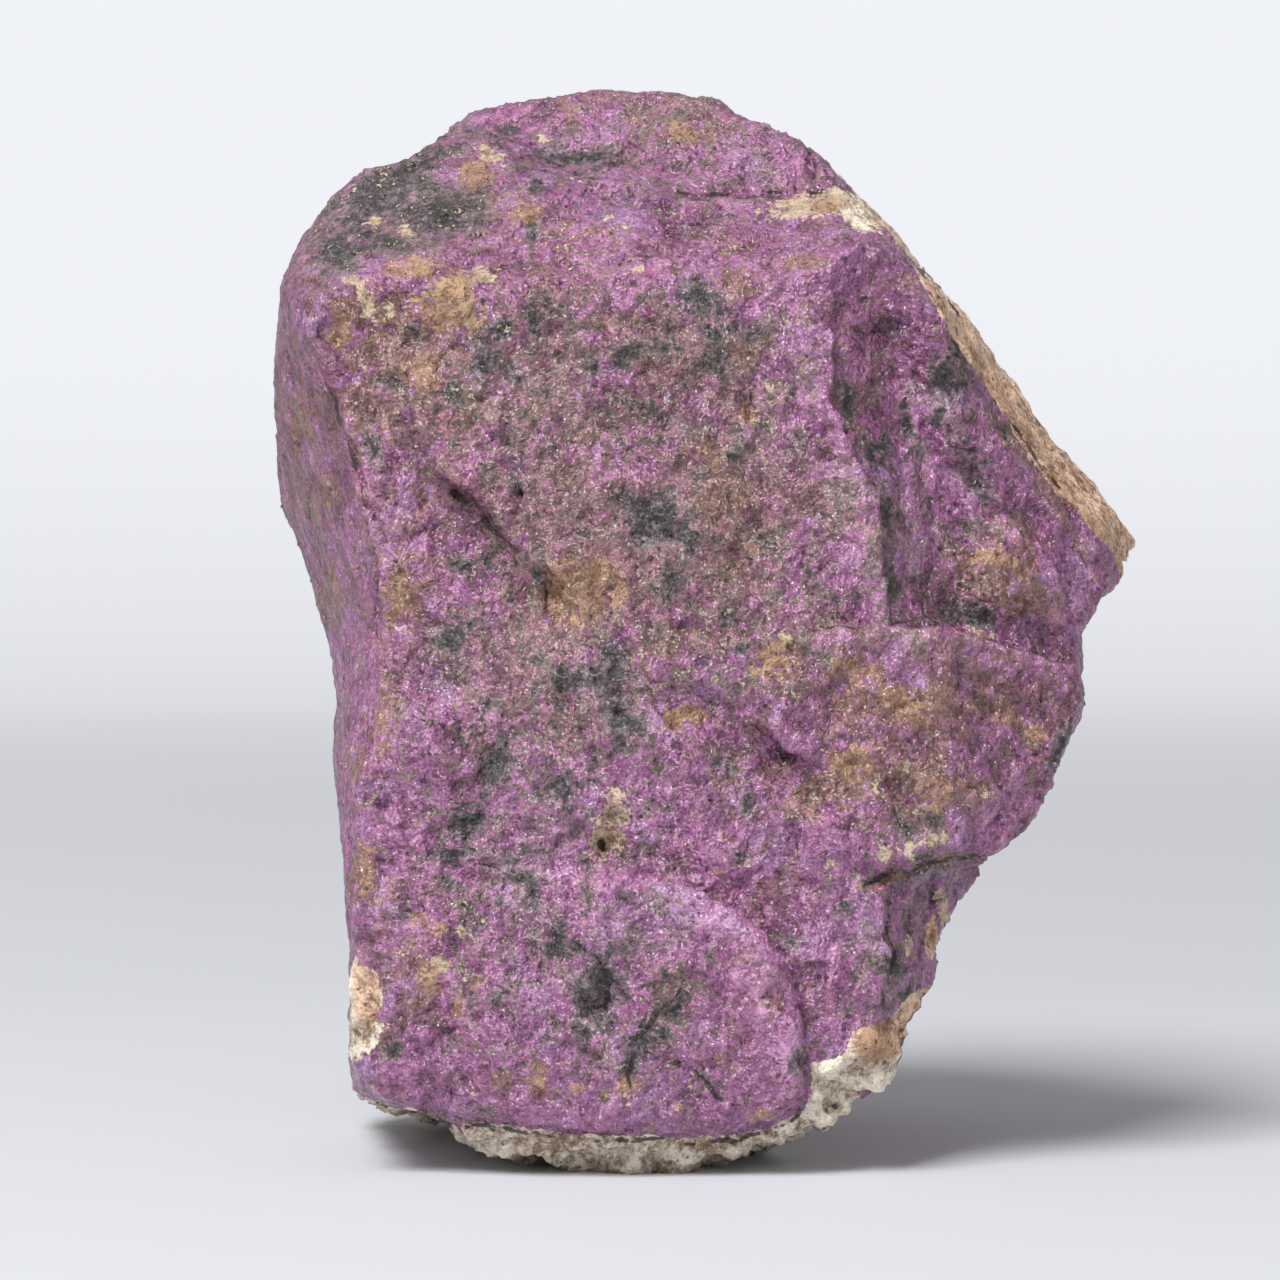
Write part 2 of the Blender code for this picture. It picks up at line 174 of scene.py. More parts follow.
# %% Where the dark oxide sits
OXIDE = [
    (-7, 10.6, 1.6, 2.3, -20), (-2.9, 41.9, 2.3, 1.9), (-21.5, 63.2, 4.6, 2.2, 30),
    (-17.6, 62.6, 3.6, 2.2, 10), (-24.6, 59.8, 1.9, 1.9), (-18.8, 65.6, 3, 1, 32),
    (-21, 60.4, 2.4, 0.8), (-9.7, 66.2, 1.5, 0.6, -12), (-7.5, 66, 1.5, 0.9, 15),
    (-13.2, 68, 0.8, 0.5), (-11.6, 61.3, 0.5, 1.3), (-11.2, 64.3, 0.5, 0.9),
    (-0.4, 56.6, 2.1, 1.2, -18), (0.8, 54.4, 0.8, 0.8), (3, 54.2, 1.3, 0.7, 20),
    (1.1, 52, 1, 1), (-4.8, 53.3, 1.8, 0.8, 15), (-2.9, 53.8, 1.3, 0.5, 40),
    (-5.6, 52.5, 0.6, 0.9), (-7.2, 52, 0.6, 0.6), (-11.3, 55, 0.5, 1.2),
    (-12.9, 51.7, 0.6, 0.8), (-14.8, 52.4, 0.9, 1.8), (-13.7, 54.4, 1.2, 0.7, 30),
    (-19.2, 54.6, 0.7, 0.6), (-21, 51.1, 0.9, 0.5), (-16.7, 50.4, 0.5, 1.2),
    (-3.5, 47.2, 0.9, 0.4), (2.5, 47.6, 0.9, 0.7), (2, 46, 0.5, 0.4), (-2.7, 42.4, 1.8, 1.5),
    (-4.8, 43.3, 0.9, 0.4, -45), (-0.9, 40.6, 0.6, 1.5, 20), (-4, 40.8, 0.3, 1),
    (0.3, 45, 0.9, 0.35, 15), (-2.2, 37.8, 1.4, 0.8), (-2.2, 36.7, 0.8, 0.4, 30),
    (1.6, 35.2, 0.4, 0.7), (12, 46.8, 1.1, 0.5, 30), (11.1, 46, 0.5, 0.5),
    (9.7, 49.8, 0.4, 1.3, 15), (13.7, 48.6, 0.5, 1.3, 10), (16.4, 51.3, 1.3, 2.1, -15),
    (15.8, 49, 0.6, 1), (18.2, 44.4, 0.6, 1.7, 38), (12.4, 42.5, 0.35, 1.8, 5),
    (12.7, 38, 0.35, 2.4), (14.1, 38.3, 0.7, 1.1), (16.3, 35.8, 1.2, 0.8, -25),
    (18.2, 35.2, 1.5, 0.9, -10), (-15.7, 34.9, 1.6, 0.6, 10), (-16.8, 33.4, 1.5, 0.8, -45),
    (-14.3, 38.9, 0.4, 0.4), (-11.2, 38.3, 0.4, 0.7), (-16.2, 38.9, 0.7, 0.4),
    (-6.3, 31.4, 1.8, 1.3), (-8.7, 31.3, 1.6, 1.1), (-6.2, 33, 1, 0.7), (-10.9, 32.4, 0.6, 0.7),
    (-11.3, 30.5, 0.5, 0.6), (-5.7, 28.7, 1.2, 1.6, 10), (-4.8, 28.1, 0.9, 0.7),
    (-5.6, 26.8, 0.8, 1), (-9.7, 29.4, 0.4, 0.5), (-14.3, 29.3, 0.7, 0.8),
    (-13.2, 27, 0.9, 0.7), (-13.9, 25.6, 1.9, 0.8, 10), (-14, 24.3, 0.8, 0.9, 45),
    (-14.9, 22.2, 0.5, 1.5, -15), (-16.2, 21.2, 0.9, 1.2), (-16.6, 19.3, 1.8, 0.6, 8),
    (-17.2, 17.5, 0.7, 0.4, -35), (-13.2, 18.9, 1.5, 0.5, -15), (-12.2, 17.8, 0.9, 0.6),
    (-11.5, 16.3, 0.7, 1), (-13.7, 16.1, 0.5, 0.4), (-9.4, 23.4, 0.7, 1.7),
    (-8.1, 24, 1.5, 0.5, 20), (-7.3, 22, 0.7, 0.5, 20), (-7.6, 25.2, 0.4, 0.5),
    (1.4, 25.4, 1.1, 0.5, -30), (3, 23, 0.4, 0.9), (-9.8, 14.3, 0.6, 1.1),
    (-10.2, 12.9, 0.8, 0.5, 10), (-8.2, 12.8, 0.8, 0.5, -30), (-6.6, 11.4, 1.9, 0.9, -35),
    (-5.5, 10.6, 0.6, 1.1, 20), (-8.2, 9.3, 0.7, 2), (-6.7, 8.7, 0.9, 1.4, 15),
    (-8.1, 7, 0.6, 0.8), (-4.2, 6.6, 1.9, 0.7, 12), (-2.7, 7.3, 0.9, 0.6, 30),
    (-1.6, 9.3, 0.5, 1.4, -20), (-4.9, 5, 0.45, 1.2), (-4.3, 8.1, 0.3, 0.7, 25),
    (-6.6, 3.1, 0.4, 0.6), (-13.8, 9.7, 0.9, 0.5, 30), (-12.5, 11.1, 0.4, 0.7, 30),
    (-19.9, 15.1, 0.7, 0.5), (-17.2, 6.1, 0.5, 0.4), (-20.7, 6.2, 0.7, 0.5),
    (5.8, 13.6, 0.7, 0.5, -20), (0.3, 12.6, 0.3, 0.5), (-5.2, 16.3, 0.6, 0.35),
    (2.4, 19.1, 0.4, 0.5), (0, 4.4, 0.6, 0.3, -40), (12.8, 11.8, 1, 1, 10),
    (13.7, 10.1, 0.9, 0.5, 30), (12.2, 9.4, 0.3, 0.8), (14.6, 18.3, 1, 0.4, 15),
    (9.6, 15.9, 0.5, 0.4, -30), (6.3, 5.3, 0.6, 1, -15), (24.2, 26.8, 0.5, 1.4, -22),
    (13.5, 21.1, 0.35, 1.1, 25), (15.8, 21.9, 0.7, 0.8), (7.5, 32.9, 1.1, 0.4, -10),
    (2.6, 33, 0.7, 0.6), (-14.4, 2, 0.6, 0.35, -30), (-22.2, 46.8, 0.6, 1.6, 5),
]
print(len(OXIDE), "oxide patches")

# %% [markdown]
# Rust is iron oxide: a thin brown film, mostly on flat ledges and round the dark patches. Ochre
# is the same stain, thicker and yellower.

# %% Where rust and ochre stain it
RUST = [
    (17.2, 52.6, 0.9, 2.6, 33), (20.4, 47.8, 0.9, 3, 33), (23.4, 43.6, 0.9, 2.6, 35),
    (25.4, 40.4, 0.8, 1.6, 33), (-6, 20.6, 1.4, 1.4), (13.6, 18.2, 3.4, 0.6, 15),
    (-19.5, 53, 5, 4.6), (-22, 48.8, 2.2, 2.4), (-16, 49.2, 1.4, 2),
    (-12, 49.2, 1.8, 0.9), (-9.4, 45, 1, 1.1), (-8.2, 47.2, 1.2, 0.7), (-9, 37, 3.8, 3.2),
    (1.2, 43.5, 2.4, 2.6), (0.4, 46.6, 2.4, 1.2), (3.6, 40.4, 2.2, 1.2, 20), (3.1, 48.8, 1, 1.1),
    (1.5, 38.6, 1.8, 1.3), (19.3, 38.4, 3.6, 2.2, -12), (21.8, 36.4, 2.4, 1.8),
    (-20, 36.6, 1.8, 3.4), (-19.8, 39.3, 1.3, 1.1), (-2.4, 33.4, 3.2, 1.8, 15),
    (0.8, 33.8, 3, 1), (5.2, 32.8, 3.2, 1.6), (11.8, 29.8, 4.4, 2.4, -32),
    (16.2, 29.6, 2.4, 1.4), (18.8, 29.4, 3.2, 0.9, -12), (21.4, 28, 2.6, 0.9, -30),
    (9.2, 24, 3, 2, 8), (14.4, 24.6, 2.2, 3.2, -18), (17.8, 23.6, 2.2, 1.6),
    (6.8, 22.4, 1.5, 1.2), (-21.4, 28.4, 1, 2.4), (-23.2, 25, 0.9, 1.6),
    (-22.8, 18.2, 1.1, 2.6, -10), (-18.4, 10.6, 1.2, 2), (-2, 9.6, 1.3, 2.6, -22),
    (-0.6, 67.9, 2.6, 1), (-4.6, 68.6, 1.5, 1, -35), (-9, 69, 0.9, 1.6, 25),
    (12.6, 17.5, 2.2, 0.7, 20), (16.4, 18.9, 2.8, 0.6, 3), (22.3, 24.2, 0.9, 0.7),
    (-27, 48.4, 0.9, 2.4), (-25, 43.6, 1, 1.8), (-26.6, 42.4, 0.8, 1.2),
    (-24.8, 37, 0.9, 2.8), (-15, 63.6, 2.4, 2.8, 20), (7, 59, 1.8, 0.6),
    (-6, 55.2, 3, 0.9, 10), (2.4, 57.4, 2.2, 1.4), (2.4, 53, 2.8, 1.8),
    (-4.6, 53.4, 3, 1.6), (-13.5, 3.8, 1.4, 0.9), (-24.3, 55, 1.6, 2.4), (-1.4, 28.6, 2, 1.3),
]
OCHRE = [
    (-9.4, 38.6, 1, 0.7), (-9.9, 36.8, 0.7, 1.8), (-7.6, 37.2, 2.4, 2.2), (-8.8, 35.2, 1.3, 0.8),
    (-5.6, 37.2, 0.6, 1.6), (-17, 56.4, 3, 2.6, 20), (-19.5, 58.6, 2.6, 0.9),
    (-18.6, 51.8, 1.8, 1.4), (-24.4, 54.4, 1, 1.6), (4.9, 32.4, 1.7, 1.4), (9.9, 25.4, 1.8, 1.4),
    (10.4, 31.4, 1.6, 1, -20), (13.4, 29.4, 2.6, 1, -40), (-1.4, 28.7, 1.5, 0.9),
    (-18.6, 14.6, 1.8, 0.6, -20), (-18.3, 10.8, 0.7, 1.4), (-16.6, 9, 0.6, 0.8),
    (-14.8, 10.6, 0.8, 0.7), (-11, 3.9, 1.1, 1.3), (-5.4, 3.7, 1.5, 0.6, 18),
    (-8.4, 3.4, 0.6, 0.6), (-1.8, 2.3, 0.4, 0.6), (3.6, 1.5, 0.8, 0.4, 20), (1.2, 5.5, 0.5, 0.5),
    (19.6, 39.4, 1.8, 0.9), (22, 27.7, 1.8, 0.5, -30), (-20.4, 36.4, 0.9, 1.8),
    (0.5, 45.6, 0.8, 1.2), (3, 49, 0.7, 0.8), (-12, 62.6, 1.2, 1),
    (-15.4, 65, 1.6, 1, 20), (-1, 67.8, 1.8, 0.6), (15.8, 23.2, 0.8, 1.4),
    (12.2, 17.4, 1.6, 0.4, 20), (-22.6, 18, 0.6, 1.8, -10), (11.8, 6.6, 1.9, 1.4, 35),
    (20, 50, 1.6, 0.30, -54), (22, 47.2, 1.6, 0.32, -54), (24.2, 44.2, 1.7, 0.35, -50),
    (26.6, 41.2, 1.4, 0.45, -48), (8.6, 62.9, 1.5, 0.5, 10),
]
print(len(RUST), "rust and", len(OCHRE), "ochre patches")

# %% [markdown]
# Under all that lies a brown film so thin that it only shows as brown grains among the violet
# ones. Each entry is a soft spot where it is denser: (across, up, half width, half height, how
# much denser).

# %% Where the thin film is denser
FILM_LEAST = 0.25
FILM_BEHIND = 0.42
FILM = [
    (-6, 48, 12, 10, 0.10), (-2, 42, 5, 6, 0.14),
    (-15, 50, 11, 9, 0.40), (2, 50, 8, 9, 0.32), (-8, 37, 10, 7, 0.36),
    (5, 39, 6, 8, 0.30), (12, 27, 7, 4.5, 0.50), (19.5, 38, 4, 3.5, 0.55),
    (-5, 29, 7, 4, 0.20), (-20, 62, 8, 5, 0.40), (-3, 69, 8, 3, 0.30),
    (-2, 9, 3, 4, 0.15), (-27, 46, 3, 12, 0.25), (-18.5, 11, 2.5, 4, 0.30),
    (20, 29, 4, 3, 0.35), (2, 43.5, 3.5, 4, 0.25), (15.3, 23, 2, 3.5, 0.35),
    (-14, 36, 7, 6, 0.22), (-13, 27, 6, 5, 0.16),
]

# %% [markdown]
# Cream is a crumbly clay-like crust, with a vein of it behind the top bevel and pale specks in
# many small hollows. The host rock is feldspar with a little mica. It shows as a rind on the
# upper right rim, in a few patches, and as the stone's foot.

# %% Where cream crust and host rock are
CREAM = [
    (-17.2, 57, 2.4, 1.2, 15), (-15.4, 58.2, 1.6, 0.6), (-16.4, 55.4, 1.6, 1.1),
    (-22.6, 56.4, 0.45, 1.7, 12), (-23.6, 57.9, 1, 0.35), (-18.9, 58.8, 0.9, 0.6),
    (-20, 61.1, 0.6, 0.4), (-22, 61.8, 0.8, 0.4), (-14.2, 66.2, 1.3, 0.6, -25),
    (-10.6, 67.4, 0.5, 0.4), (4.9, 32.3, 0.9, 0.6), (5.3, 33.6, 0.5, 0.5), (-17.6, 12, 0.8, 0.9),
    (-16.2, 14.1, 0.4, 0.4), (-10.9, 3.9, 0.4, 0.4), (12.2, 19.3, 0.6, 0.5), (13.8, 19.6, 0.6, 0.4),
    (10.4, 17.2, 0.5, 0.4), (16.2, 15.5, 0.4, 1.6, 10), (14, 12.8, 0.35, 0.9, 20),
    (15.4, 20.3, 0.8, 0.4, 10), (16.4, 20.5, 0.3, 0.25), (19.3, 23.3, 0.4, 0.3),
    (13.8, 25.3, 0.25, 0.5), (10, 25.1, 0.3, 0.3), (8.6, 18.6, 0.3, 0.35), (4.6, 50.6, 0.4, 0.3),
    (-4.4, 58.6, 0.6, 0.25, 5), (-6.1, 62.1, 0.4, 0.2), (-22.6, 52, 0.4, 0.3),
    (-6.1, 21.5, 1.3, 2.4, -8), (-6.8, 20, 1.1, 1.2), (-1.6, 28.8, 0.9, 0.6),
    (-21, 55.8, 0.5, 0.4), (7, 62.9, 3, 0.9, 10), (9, 63, 1.4, 1),
    (16.6, 54.8, 0.5, 0.6), (18.8, 34.2, 1, 0.25, -15),
]
HOST = [
    (10.8, 62.3, 1.9, 1.2, -20), (15.4, 13.8, 0.5, 1.6),
]
RIND_EDGE = [
    (10.8, 64.5), (12.1, 61.8), (13.8, 59.4), (15.8, 55.9), (17.3, 53.2), (20, 49.1),
    (22, 45.9), (24, 43.2), (26, 41.3), (27.6, 39.6), (27.9, 38.2),
]
FOOT_EDGE = [
    (-24, 3.2), (-20, 2.2), (-16.8, 1.5), (-12.3, 0.9), (-6.9, 0.3), (1.2, 0.25), (4.5, 0.9),
    (6.9, 2.1), (7.4, 3.6), (7.3, 5.2), (8.6, 5.3), (9.6, 5.8), (10.1, 7.5), (11.6, 7.7),
    (12.8, 8.4), (14, 9.8), (16.2, 10.9),
]
print(len(CREAM), "cream and", len(HOST), "host rock patches")

# %% [markdown]
# In some zones a mark comes only as scattered flecks. Such a zone has a strength that stays
# below 0, so only the highest peaks of the material's noise come through. The host rock is
# stained warm brown along the rind, on top of the corner at the lower right and in a few spots.

# %% Where flecks are scattered, and where host rock is warm
OXIDE_FLECKS = [
    (-6, 50, 14, 7), (-4, 36, 12, 7), (-11, 25, 8, 9, 20),
    (-9, 12, 8, 7), (15, 43, 6, 9, -20), (-19, 64, 8, 4, 25),
    (-3, 66, 9, 3), (13, 13, 4, 8),
]
CREAM_FLECKS = [
    (-20.5, 62.5, 6, 3.4, 25), (-17, 54.5, 5, 4.5), (-16.5, 13, 4, 3),
    (2, 33, 7, 3), (13, 19.5, 5, 2, 10), (-7, 37, 3.5, 3.5),
    (-4.5, 61, 9, 1.5), (10, 24.5, 4, 2.5), (-5, 3.5, 9, 1.5), (4, 51, 3, 4),
    (-22.5, 26, 1.2, 8),
]
FLECK_STRENGTH = {"oxide": -0.40, "cream": -0.35}
WARM = [
    (12.8, 7.8, 3, 1.7, 35), (15.4, 12.4, 1, 3.4), (-1, -1, 3, 0.6),
    (-22.6, 10.2, 0.9, 2.2),
]

# %% [markdown]
# ## Cracks and lines of shade
#
# The cracks are from hairlines to open slits, and a few paths are lines of shade instead: under
# the violet lip above the foot, and behind the top crest. Each is a path, its width in mm, and how
# deep it cuts. They are both cut into the mesh and darkened by the material, which is painted
# shade, because the finest ones are narrower than the mesh's own cells.

# %% Trace the cracks
CRACKS_AND_SHADE_LINES = [
    ([(-6.9, 20.7), (-6.7, 20), (-6.5, 19.3)], 0.40, 0.30),
    ([(-6.2, 22.1), (-6, 21.5)], 0.24, 0.20),
    ([(-10.7, 39.7), (-10.4, 37.6), (-10.6, 35.6), (-9.9, 33.8)], 0.12, 0.25),
    ([(8, 24.6), (9.4, 22.4), (9.6, 20)], 0.04, 0.05),
    ([(10.9, 22.8), (11.4, 20.6), (11.2, 19)], 0.04, 0.05),
    ([(16.9, 31.2), (17.3, 28.6), (17, 26)], 0.04, 0.05),
    ([(12.2, 33.4), (12.8, 30.6), (12.5, 28)], 0.04, 0.05),
    ([(5.6, 22.6), (6.3, 19.4), (6, 16.6)], 0.05, 0.08),
    ([(1.4, 31.6), (2, 29), (1.7, 26.6)], 0.05, 0.08),
    ([(18.6, 47.6), (19, 45.4), (19.9, 43.4)], 0.05, 0.10),
    ([(21.2, 44.6), (22, 42.4), (22.3, 40.2)], 0.06, 0.12),
    ([(-13, 58.5), (-10.4, 58.8), (-6.9, 59), (-3.2, 59.3), (-0.2, 59.8), (4.5, 59.9),
      (6.8, 59.6)], 0.05, 0.10),
    ([(15.9, 55.3), (18, 52), (20.2, 48.9), (22.2, 46.2), (23.9, 43.8), (25.2, 41.8),
      (25.7, 40.4)], 0.16, 0.35),
    ([(5.8, 34.4), (9.2, 34.5), (12.6, 34.8), (15, 34.8), (17.5, 34.3), (19.5, 33.7),
      (21.6, 33), (24.8, 32.3)], 0.10, 0.20),
    ([(-18.2, 45.1), (-16.9, 44), (-15.8, 42.9), (-14.9, 41.9), (-13.9, 41),
      (-12.9, 40.1)], 0.36, 0.5),
    # A line of painted shade under the violet lip above the foot.
    ([(-21, 2), (-16.8, 1.2), (-12.3, 0.6), (-6.9, 0), (1.2, -0.05), (4.5, 0.6), (6.7, 1.8),
      (7.2, 3.4)], 0.22, 0.4),
    ([(-25.4, 51.2), (-24.7, 49.4), (-24.1, 47.6), (-23.7, 46.6), (-23.1, 44.9), (-22.6, 43),
      (-21.9, 41.6), (-21.7, 40.2)], 0.2, 0.5),
    ([(-26.4, 56.4), (-25.8, 54.6), (-25.2, 52.8), (-24.6, 51.4)], 0.14, 0.3),
    ([(-22.4, 38), (-21.8, 35.6), (-21.6, 33)], 0.12, 0.3),
    ([(-22.7, 30.4), (-22.4, 27.8), (-22.6, 25.4)], 0.1, 0.25),
    ([(-4.7, 6.3), (-3, 8.4), (-1.3, 10.4), (-0.2, 12.8), (0.8, 15)], 0.22, 0.12),
    ([(-4.7, 6.3), (-2.6, 5.6), (-0.6, 4.8), (1.2, 2.7), (2.6, 1.4)], 0.24, 0.12),
    ([(-4.7, 6.3), (-4.8, 3.9), (-4.5, 1.6)], 0.20, 0.12),
    ([(-4.7, 6.3), (-6, 7.4), (-6.6, 9), (-6, 10.6), (-7.2, 12.4), (-9.4, 13.9)], 0.24, 0.15),
    ([(-4.7, 6.3), (-4, 8), (-3.6, 9)], 0.18, 0.10),
    ([(10.2, 16.8), (11.8, 17.6), (13.3, 18.3), (15, 18.9), (17, 19.1), (20.2, 19.2)],
     0.32, 0.5),
    ([(13.3, 17.9), (12.7, 16), (12.5, 14.4), (13, 12.4), (12, 9.6)], 0.14, 0.25),
    ([(13, 24.2), (12.9, 22.4), (14, 20.2)], 0.12, 0.2),
    ([(3.4, 23.6), (3.1, 21.4), (3, 19.8), (2.3, 18.3)], 0.14, 0.2),
    ([(-3.9, 31), (-3, 29.4), (-2.4, 28.2)], 0.14, 0.25),
    ([(3.2, 28.4), (4.4, 27.2), (5.3, 26), (6.2, 24.8)], 0.22, 0.4),
    ([(16, 46.8), (17.8, 46.6), (19.6, 46.1)], 0.09, 0.15),
    ([(24.2, 42.2), (24.6, 41), (25.4, 39.6), (25.9, 38.3)], 0.14, 0.3),
    ([(23.8, 39.9), (24.3, 38.4), (24.7, 36.8)], 0.1, 0.2),
    ([(9.4, 54.9), (10.6, 54.5), (12, 54.5)], 0.12, 0.2),
    ([(-12.4, 44.3), (-12.2, 43)], 0.2, 0.3),
    ([(3.2, 50.9), (3.5, 49.8), (3.2, 48.6)], 0.2, 0.3),
    ([(8.6, 26), (9, 23.6), (8.4, 21.4)], 0.08, 0.12),
    ([(7.2, 20.8), (9, 21.2), (11.2, 20.6)], 0.08, 0.12),
    ([(-18.6, 19.4), (-16.4, 18.6), (-14, 18.3), (-12, 17)], 0.10, 0.10),
    # These three are lines of painted shade: above the cream vein, in the valley behind the top crest,
    # and a notch in it.
    ([(-2.6, 63.6), (0.6, 63.7), (3.9, 63.6), (6.4, 63.9), (9, 63.5)], 0.20, 0.35),
    ([(-12, 67), (-9.9, 65.6), (-7.7, 64.8), (-4.4, 64.4)], 0.12, 0.25),
    ([(6.9, 67.6), (7.3, 66), (7.2, 64.4)], 0.22, 0.40),
    ([(9.2, 66.6), (10, 65)], 0.12, 0.25),
    ([(-13, 30), (-13.6, 27.8), (-14.6, 25.8), (-15.2, 23.4)], 0.08, 0.10),
    ([(18.6, 25.6), (19.4, 23), (19.2, 21)], 0.08, 0.12),
    ([(22.6, 31.6), (22.8, 29.6), (23.4, 27.4)], 0.1, 0.15),
]
JAGGED = 0.32
FAR = 9.0


def jagged(points, across, up):
    """Places shifted by fine noise, so that a straight path comes out jagged."""
    coarse = np.array([noise.noise_vector(p) for p in points / 1.6])
    fine = np.array([noise.noise_vector(p) for p in points / 0.5])
    shift = JAGGED * (coarse + 0.5 * fine)
    return across + shift[:, 0], up + shift[:, 2]


def nearest_crack(points, facing):
    """For each point: distance in mm from the nearest crack, its width, depth and nearest place."""
    across, up = jagged(points, *seen_place(points))
    best = np.full(len(points), FAR)
    width, depth = np.zeros(len(points)), np.zeros(len(points))
    spot = np.full((len(points), 2), FAR)
    for path, crack_width, crack_depth in CRACKS_AND_SHADE_LINES:
        signed, place, taper = from_path(path, across, up)
        closer = (np.abs(signed) < best) & (facing > 0.05)
        best = np.where(closer, np.abs(signed), best)
        width = np.where(closer, crack_width * taper, width)
        depth = np.where(closer, crack_depth * taper, depth)
        spot[closer] = (place - np.stack([across, up], axis=1))[closer]
    return best, width, depth, spot


print(len(CRACKS_AND_SHADE_LINES), "cracks")

# %% [markdown]
# ## Steps, pits and holes
#
# Where one flake came off and its neighbour stayed, the break has a step. The sharpest are
# given as paths: the left side, going along the path, stands this much higher than the right,
# and the step dies out over its reach. The holes are the few deep ones.

# %% Trace the steps and place the holes
STEPS = [
    ([(-10.6, 39.9), (-10.3, 37.6), (-10.5, 35.4), (-9.7, 33.4)], -0.5, 0.8),
    ([(7.4, 56), (8.7, 54.2), (9.1, 52), (8.7, 49.9), (9.9, 47.2), (11.7, 43.4), (11.9, 41),
      (12.4, 38.4), (12.9, 33.9)], -1, 1.2),
    ([(13.9, 52.6), (14.4, 50.3), (14.7, 47.8), (15.7, 45.9), (17.3, 44.8), (18.7, 42.9),
      (18.2, 40.9)], -0.7, 1),
    ([(14.3, 49.6), (13.6, 46.6), (13.9, 43), (14.9, 39.2)], 0.45, 0.8),
    ([(17.4, 41.8), (20.6, 42.3), (23.6, 39), (24.8, 35.2)], -0.5, 0.9),
    ([(6.6, 34.3), (10, 34.6), (12.8, 34.9), (16.2, 34.7), (19.5, 33.6), (22.6, 32.8),
      (25.6, 32)], -0.9, 1.1),
    ([(-3.4, 18), (-2.2, 17.7), (1.5, 15.8), (4.4, 13.7), (6.1, 10.8), (6.7, 7.8), (6.5, 4.9),
      (7.3, 2.8)], -0.8, 1.3),
    ([(-17, 20.9), (-12, 18.4), (-7.6, 18), (-4.5, 18.4), (-3.2, 18.1)], -0.4, 1.2),
    ([(-11.8, 66.6), (-9.6, 65.2), (-7.5, 64.3), (-3.4, 63.6), (-1.4, 62.7), (4.9, 62.7)],
     0.5, 1),
    ([(9.8, 16.7), (12.4, 17.8), (15, 18.6), (18.6, 18.9), (21, 18.6)], 0.7, 1),
    ([(13.1, 17.4), (12.3, 14.6), (12.9, 11.6), (11.9, 9)], -0.6, 0.9),
    ([(-18.6, 45.6), (-16.6, 43.8), (-14.6, 41.6), (-12.6, 39.8)], 0.6, 1.3),
    ([(-25.7, 52.4), (-24.9, 49.6), (-24, 46.6), (-23.4, 43.6), (-21.9, 39.6), (-21.6, 35)],
     0.5, 0.8),
    ([(3.4, 32), (4.4, 28.6), (5.2, 26.4), (7.6, 25)], 0.5, 1),
    ([(16.6, 31.9), (18.6, 29.2), (20.8, 27.6), (23.2, 26.4)], -0.35, 0.8),
    ([(9.6, 31), (13.6, 29.4), (15.8, 26.4), (16.6, 23.6)], 0.3, 0.8),
    ([(-10.6, 39.8), (-6.4, 40.4), (-4.6, 38.2), (-4.8, 34.6)], -0.25, 0.8),
    ([(-24.6, 57.6), (-20.6, 57), (-16, 59.4), (-13.2, 58.6)], 0.3, 0.9),
    ([(-22.8, 55.6), (-21.6, 52.6), (-22.4, 49.8)], 0.3, 0.7),
]
HOLES = [
    (-10.6, 37.4, 0.35, 1.6, 0.4),
    (-6.7, 20, 0.30, 0.42, 0.8), (-6.1, 21.7, 0.20, 0.30, 0.5), (3.2, 49.2, 0.28, 0.9, 0.6),
    (5.7, 25.6, 0.6, 0.35, 0.6), (7.6, 25.1, 0.45, 0.3, 0.6), (-1.7, 28.3, 0.35, 0.4, 0.7),
    (-0.9, 28.9, 0.3, 0.3, 0.5), (-14.1, 38.9, 0.35, 0.35, 0.5), (-17.8, 34.9, 0.4, 0.3, 0.5),
    (-16.4, 43.3, 0.5, 0.4, 0.5), (8.4, 46.3, 0.35, 0.35, 0.5), (12.2, 54.6, 0.6, 0.25, 0.5),
    (-12.3, 43.6, 0.3, 0.7, 0.5), (15.7, 16.6, 0.25, 0.9, 0.5), (-10.9, 3, 0.4, 0.3, 0.4),
    (19.2, 40.7, 0.35, 0.35, 0.4), (-2.2, 62.6, 0.4, 0.5, 0.5), (7.3, 65.6, 0.3, 1.2, 0.5),
]
print(len(STEPS), "steps and", len(HOLES), "holes")

# %% [markdown]
# ## How strongly each kind of mark is felt
#
# A patch is strongest at its middle, falls to 0 at its limit, and is negative beyond. The
# material adds noise to that and keeps what is above 0, which gives a ragged edge. The sides
# that the marks don't reach get patches from slow noise, of the same sizes and in about the
# same share of the surface. Behind, the host rock is a slab beyond a slanting plane that carries
# on from the rind, and a low band round the foot. One patch of it wraps round the lower left
# corner, so it is an ellipsoid: its middle and its half sizes.

# %% Turn marks into strengths
def patch_strength(patches, across, up, reach=0.5):
    """How far inside the nearest patch each point is: 1 in the middle, 0 at the limit, then less."""
    strength = np.full(across.shape, -1.0)
    for x, z, half_width, half_height, *turn in patches:
        angle = math.radians(turn[0]) if turn else 0.0
        cosine, sine = math.cos(angle), math.sin(angle)
        along = ((across - x) * cosine + (up - z) * sine) / half_width
        over = ((up - z) * cosine - (across - x) * sine) / half_height
        size = min(half_width, half_height)
        outside = np.hypot(along, over) - 1.0
        fade = np.where(outside > 0, outside * size / reach, outside)
        strength = np.maximum(strength, -fade)
    return strength


def slow_noise(points, size, share, seed):
    """Patches of slow noise: above 0 on about this share of the surface."""
    values = np.array([noise.fractal(p, 0.8, 2.1, 4) for p in points / size + seed])
    return (values - np.quantile(values, 1.0 - share)) / (values.std() + 1e-9)


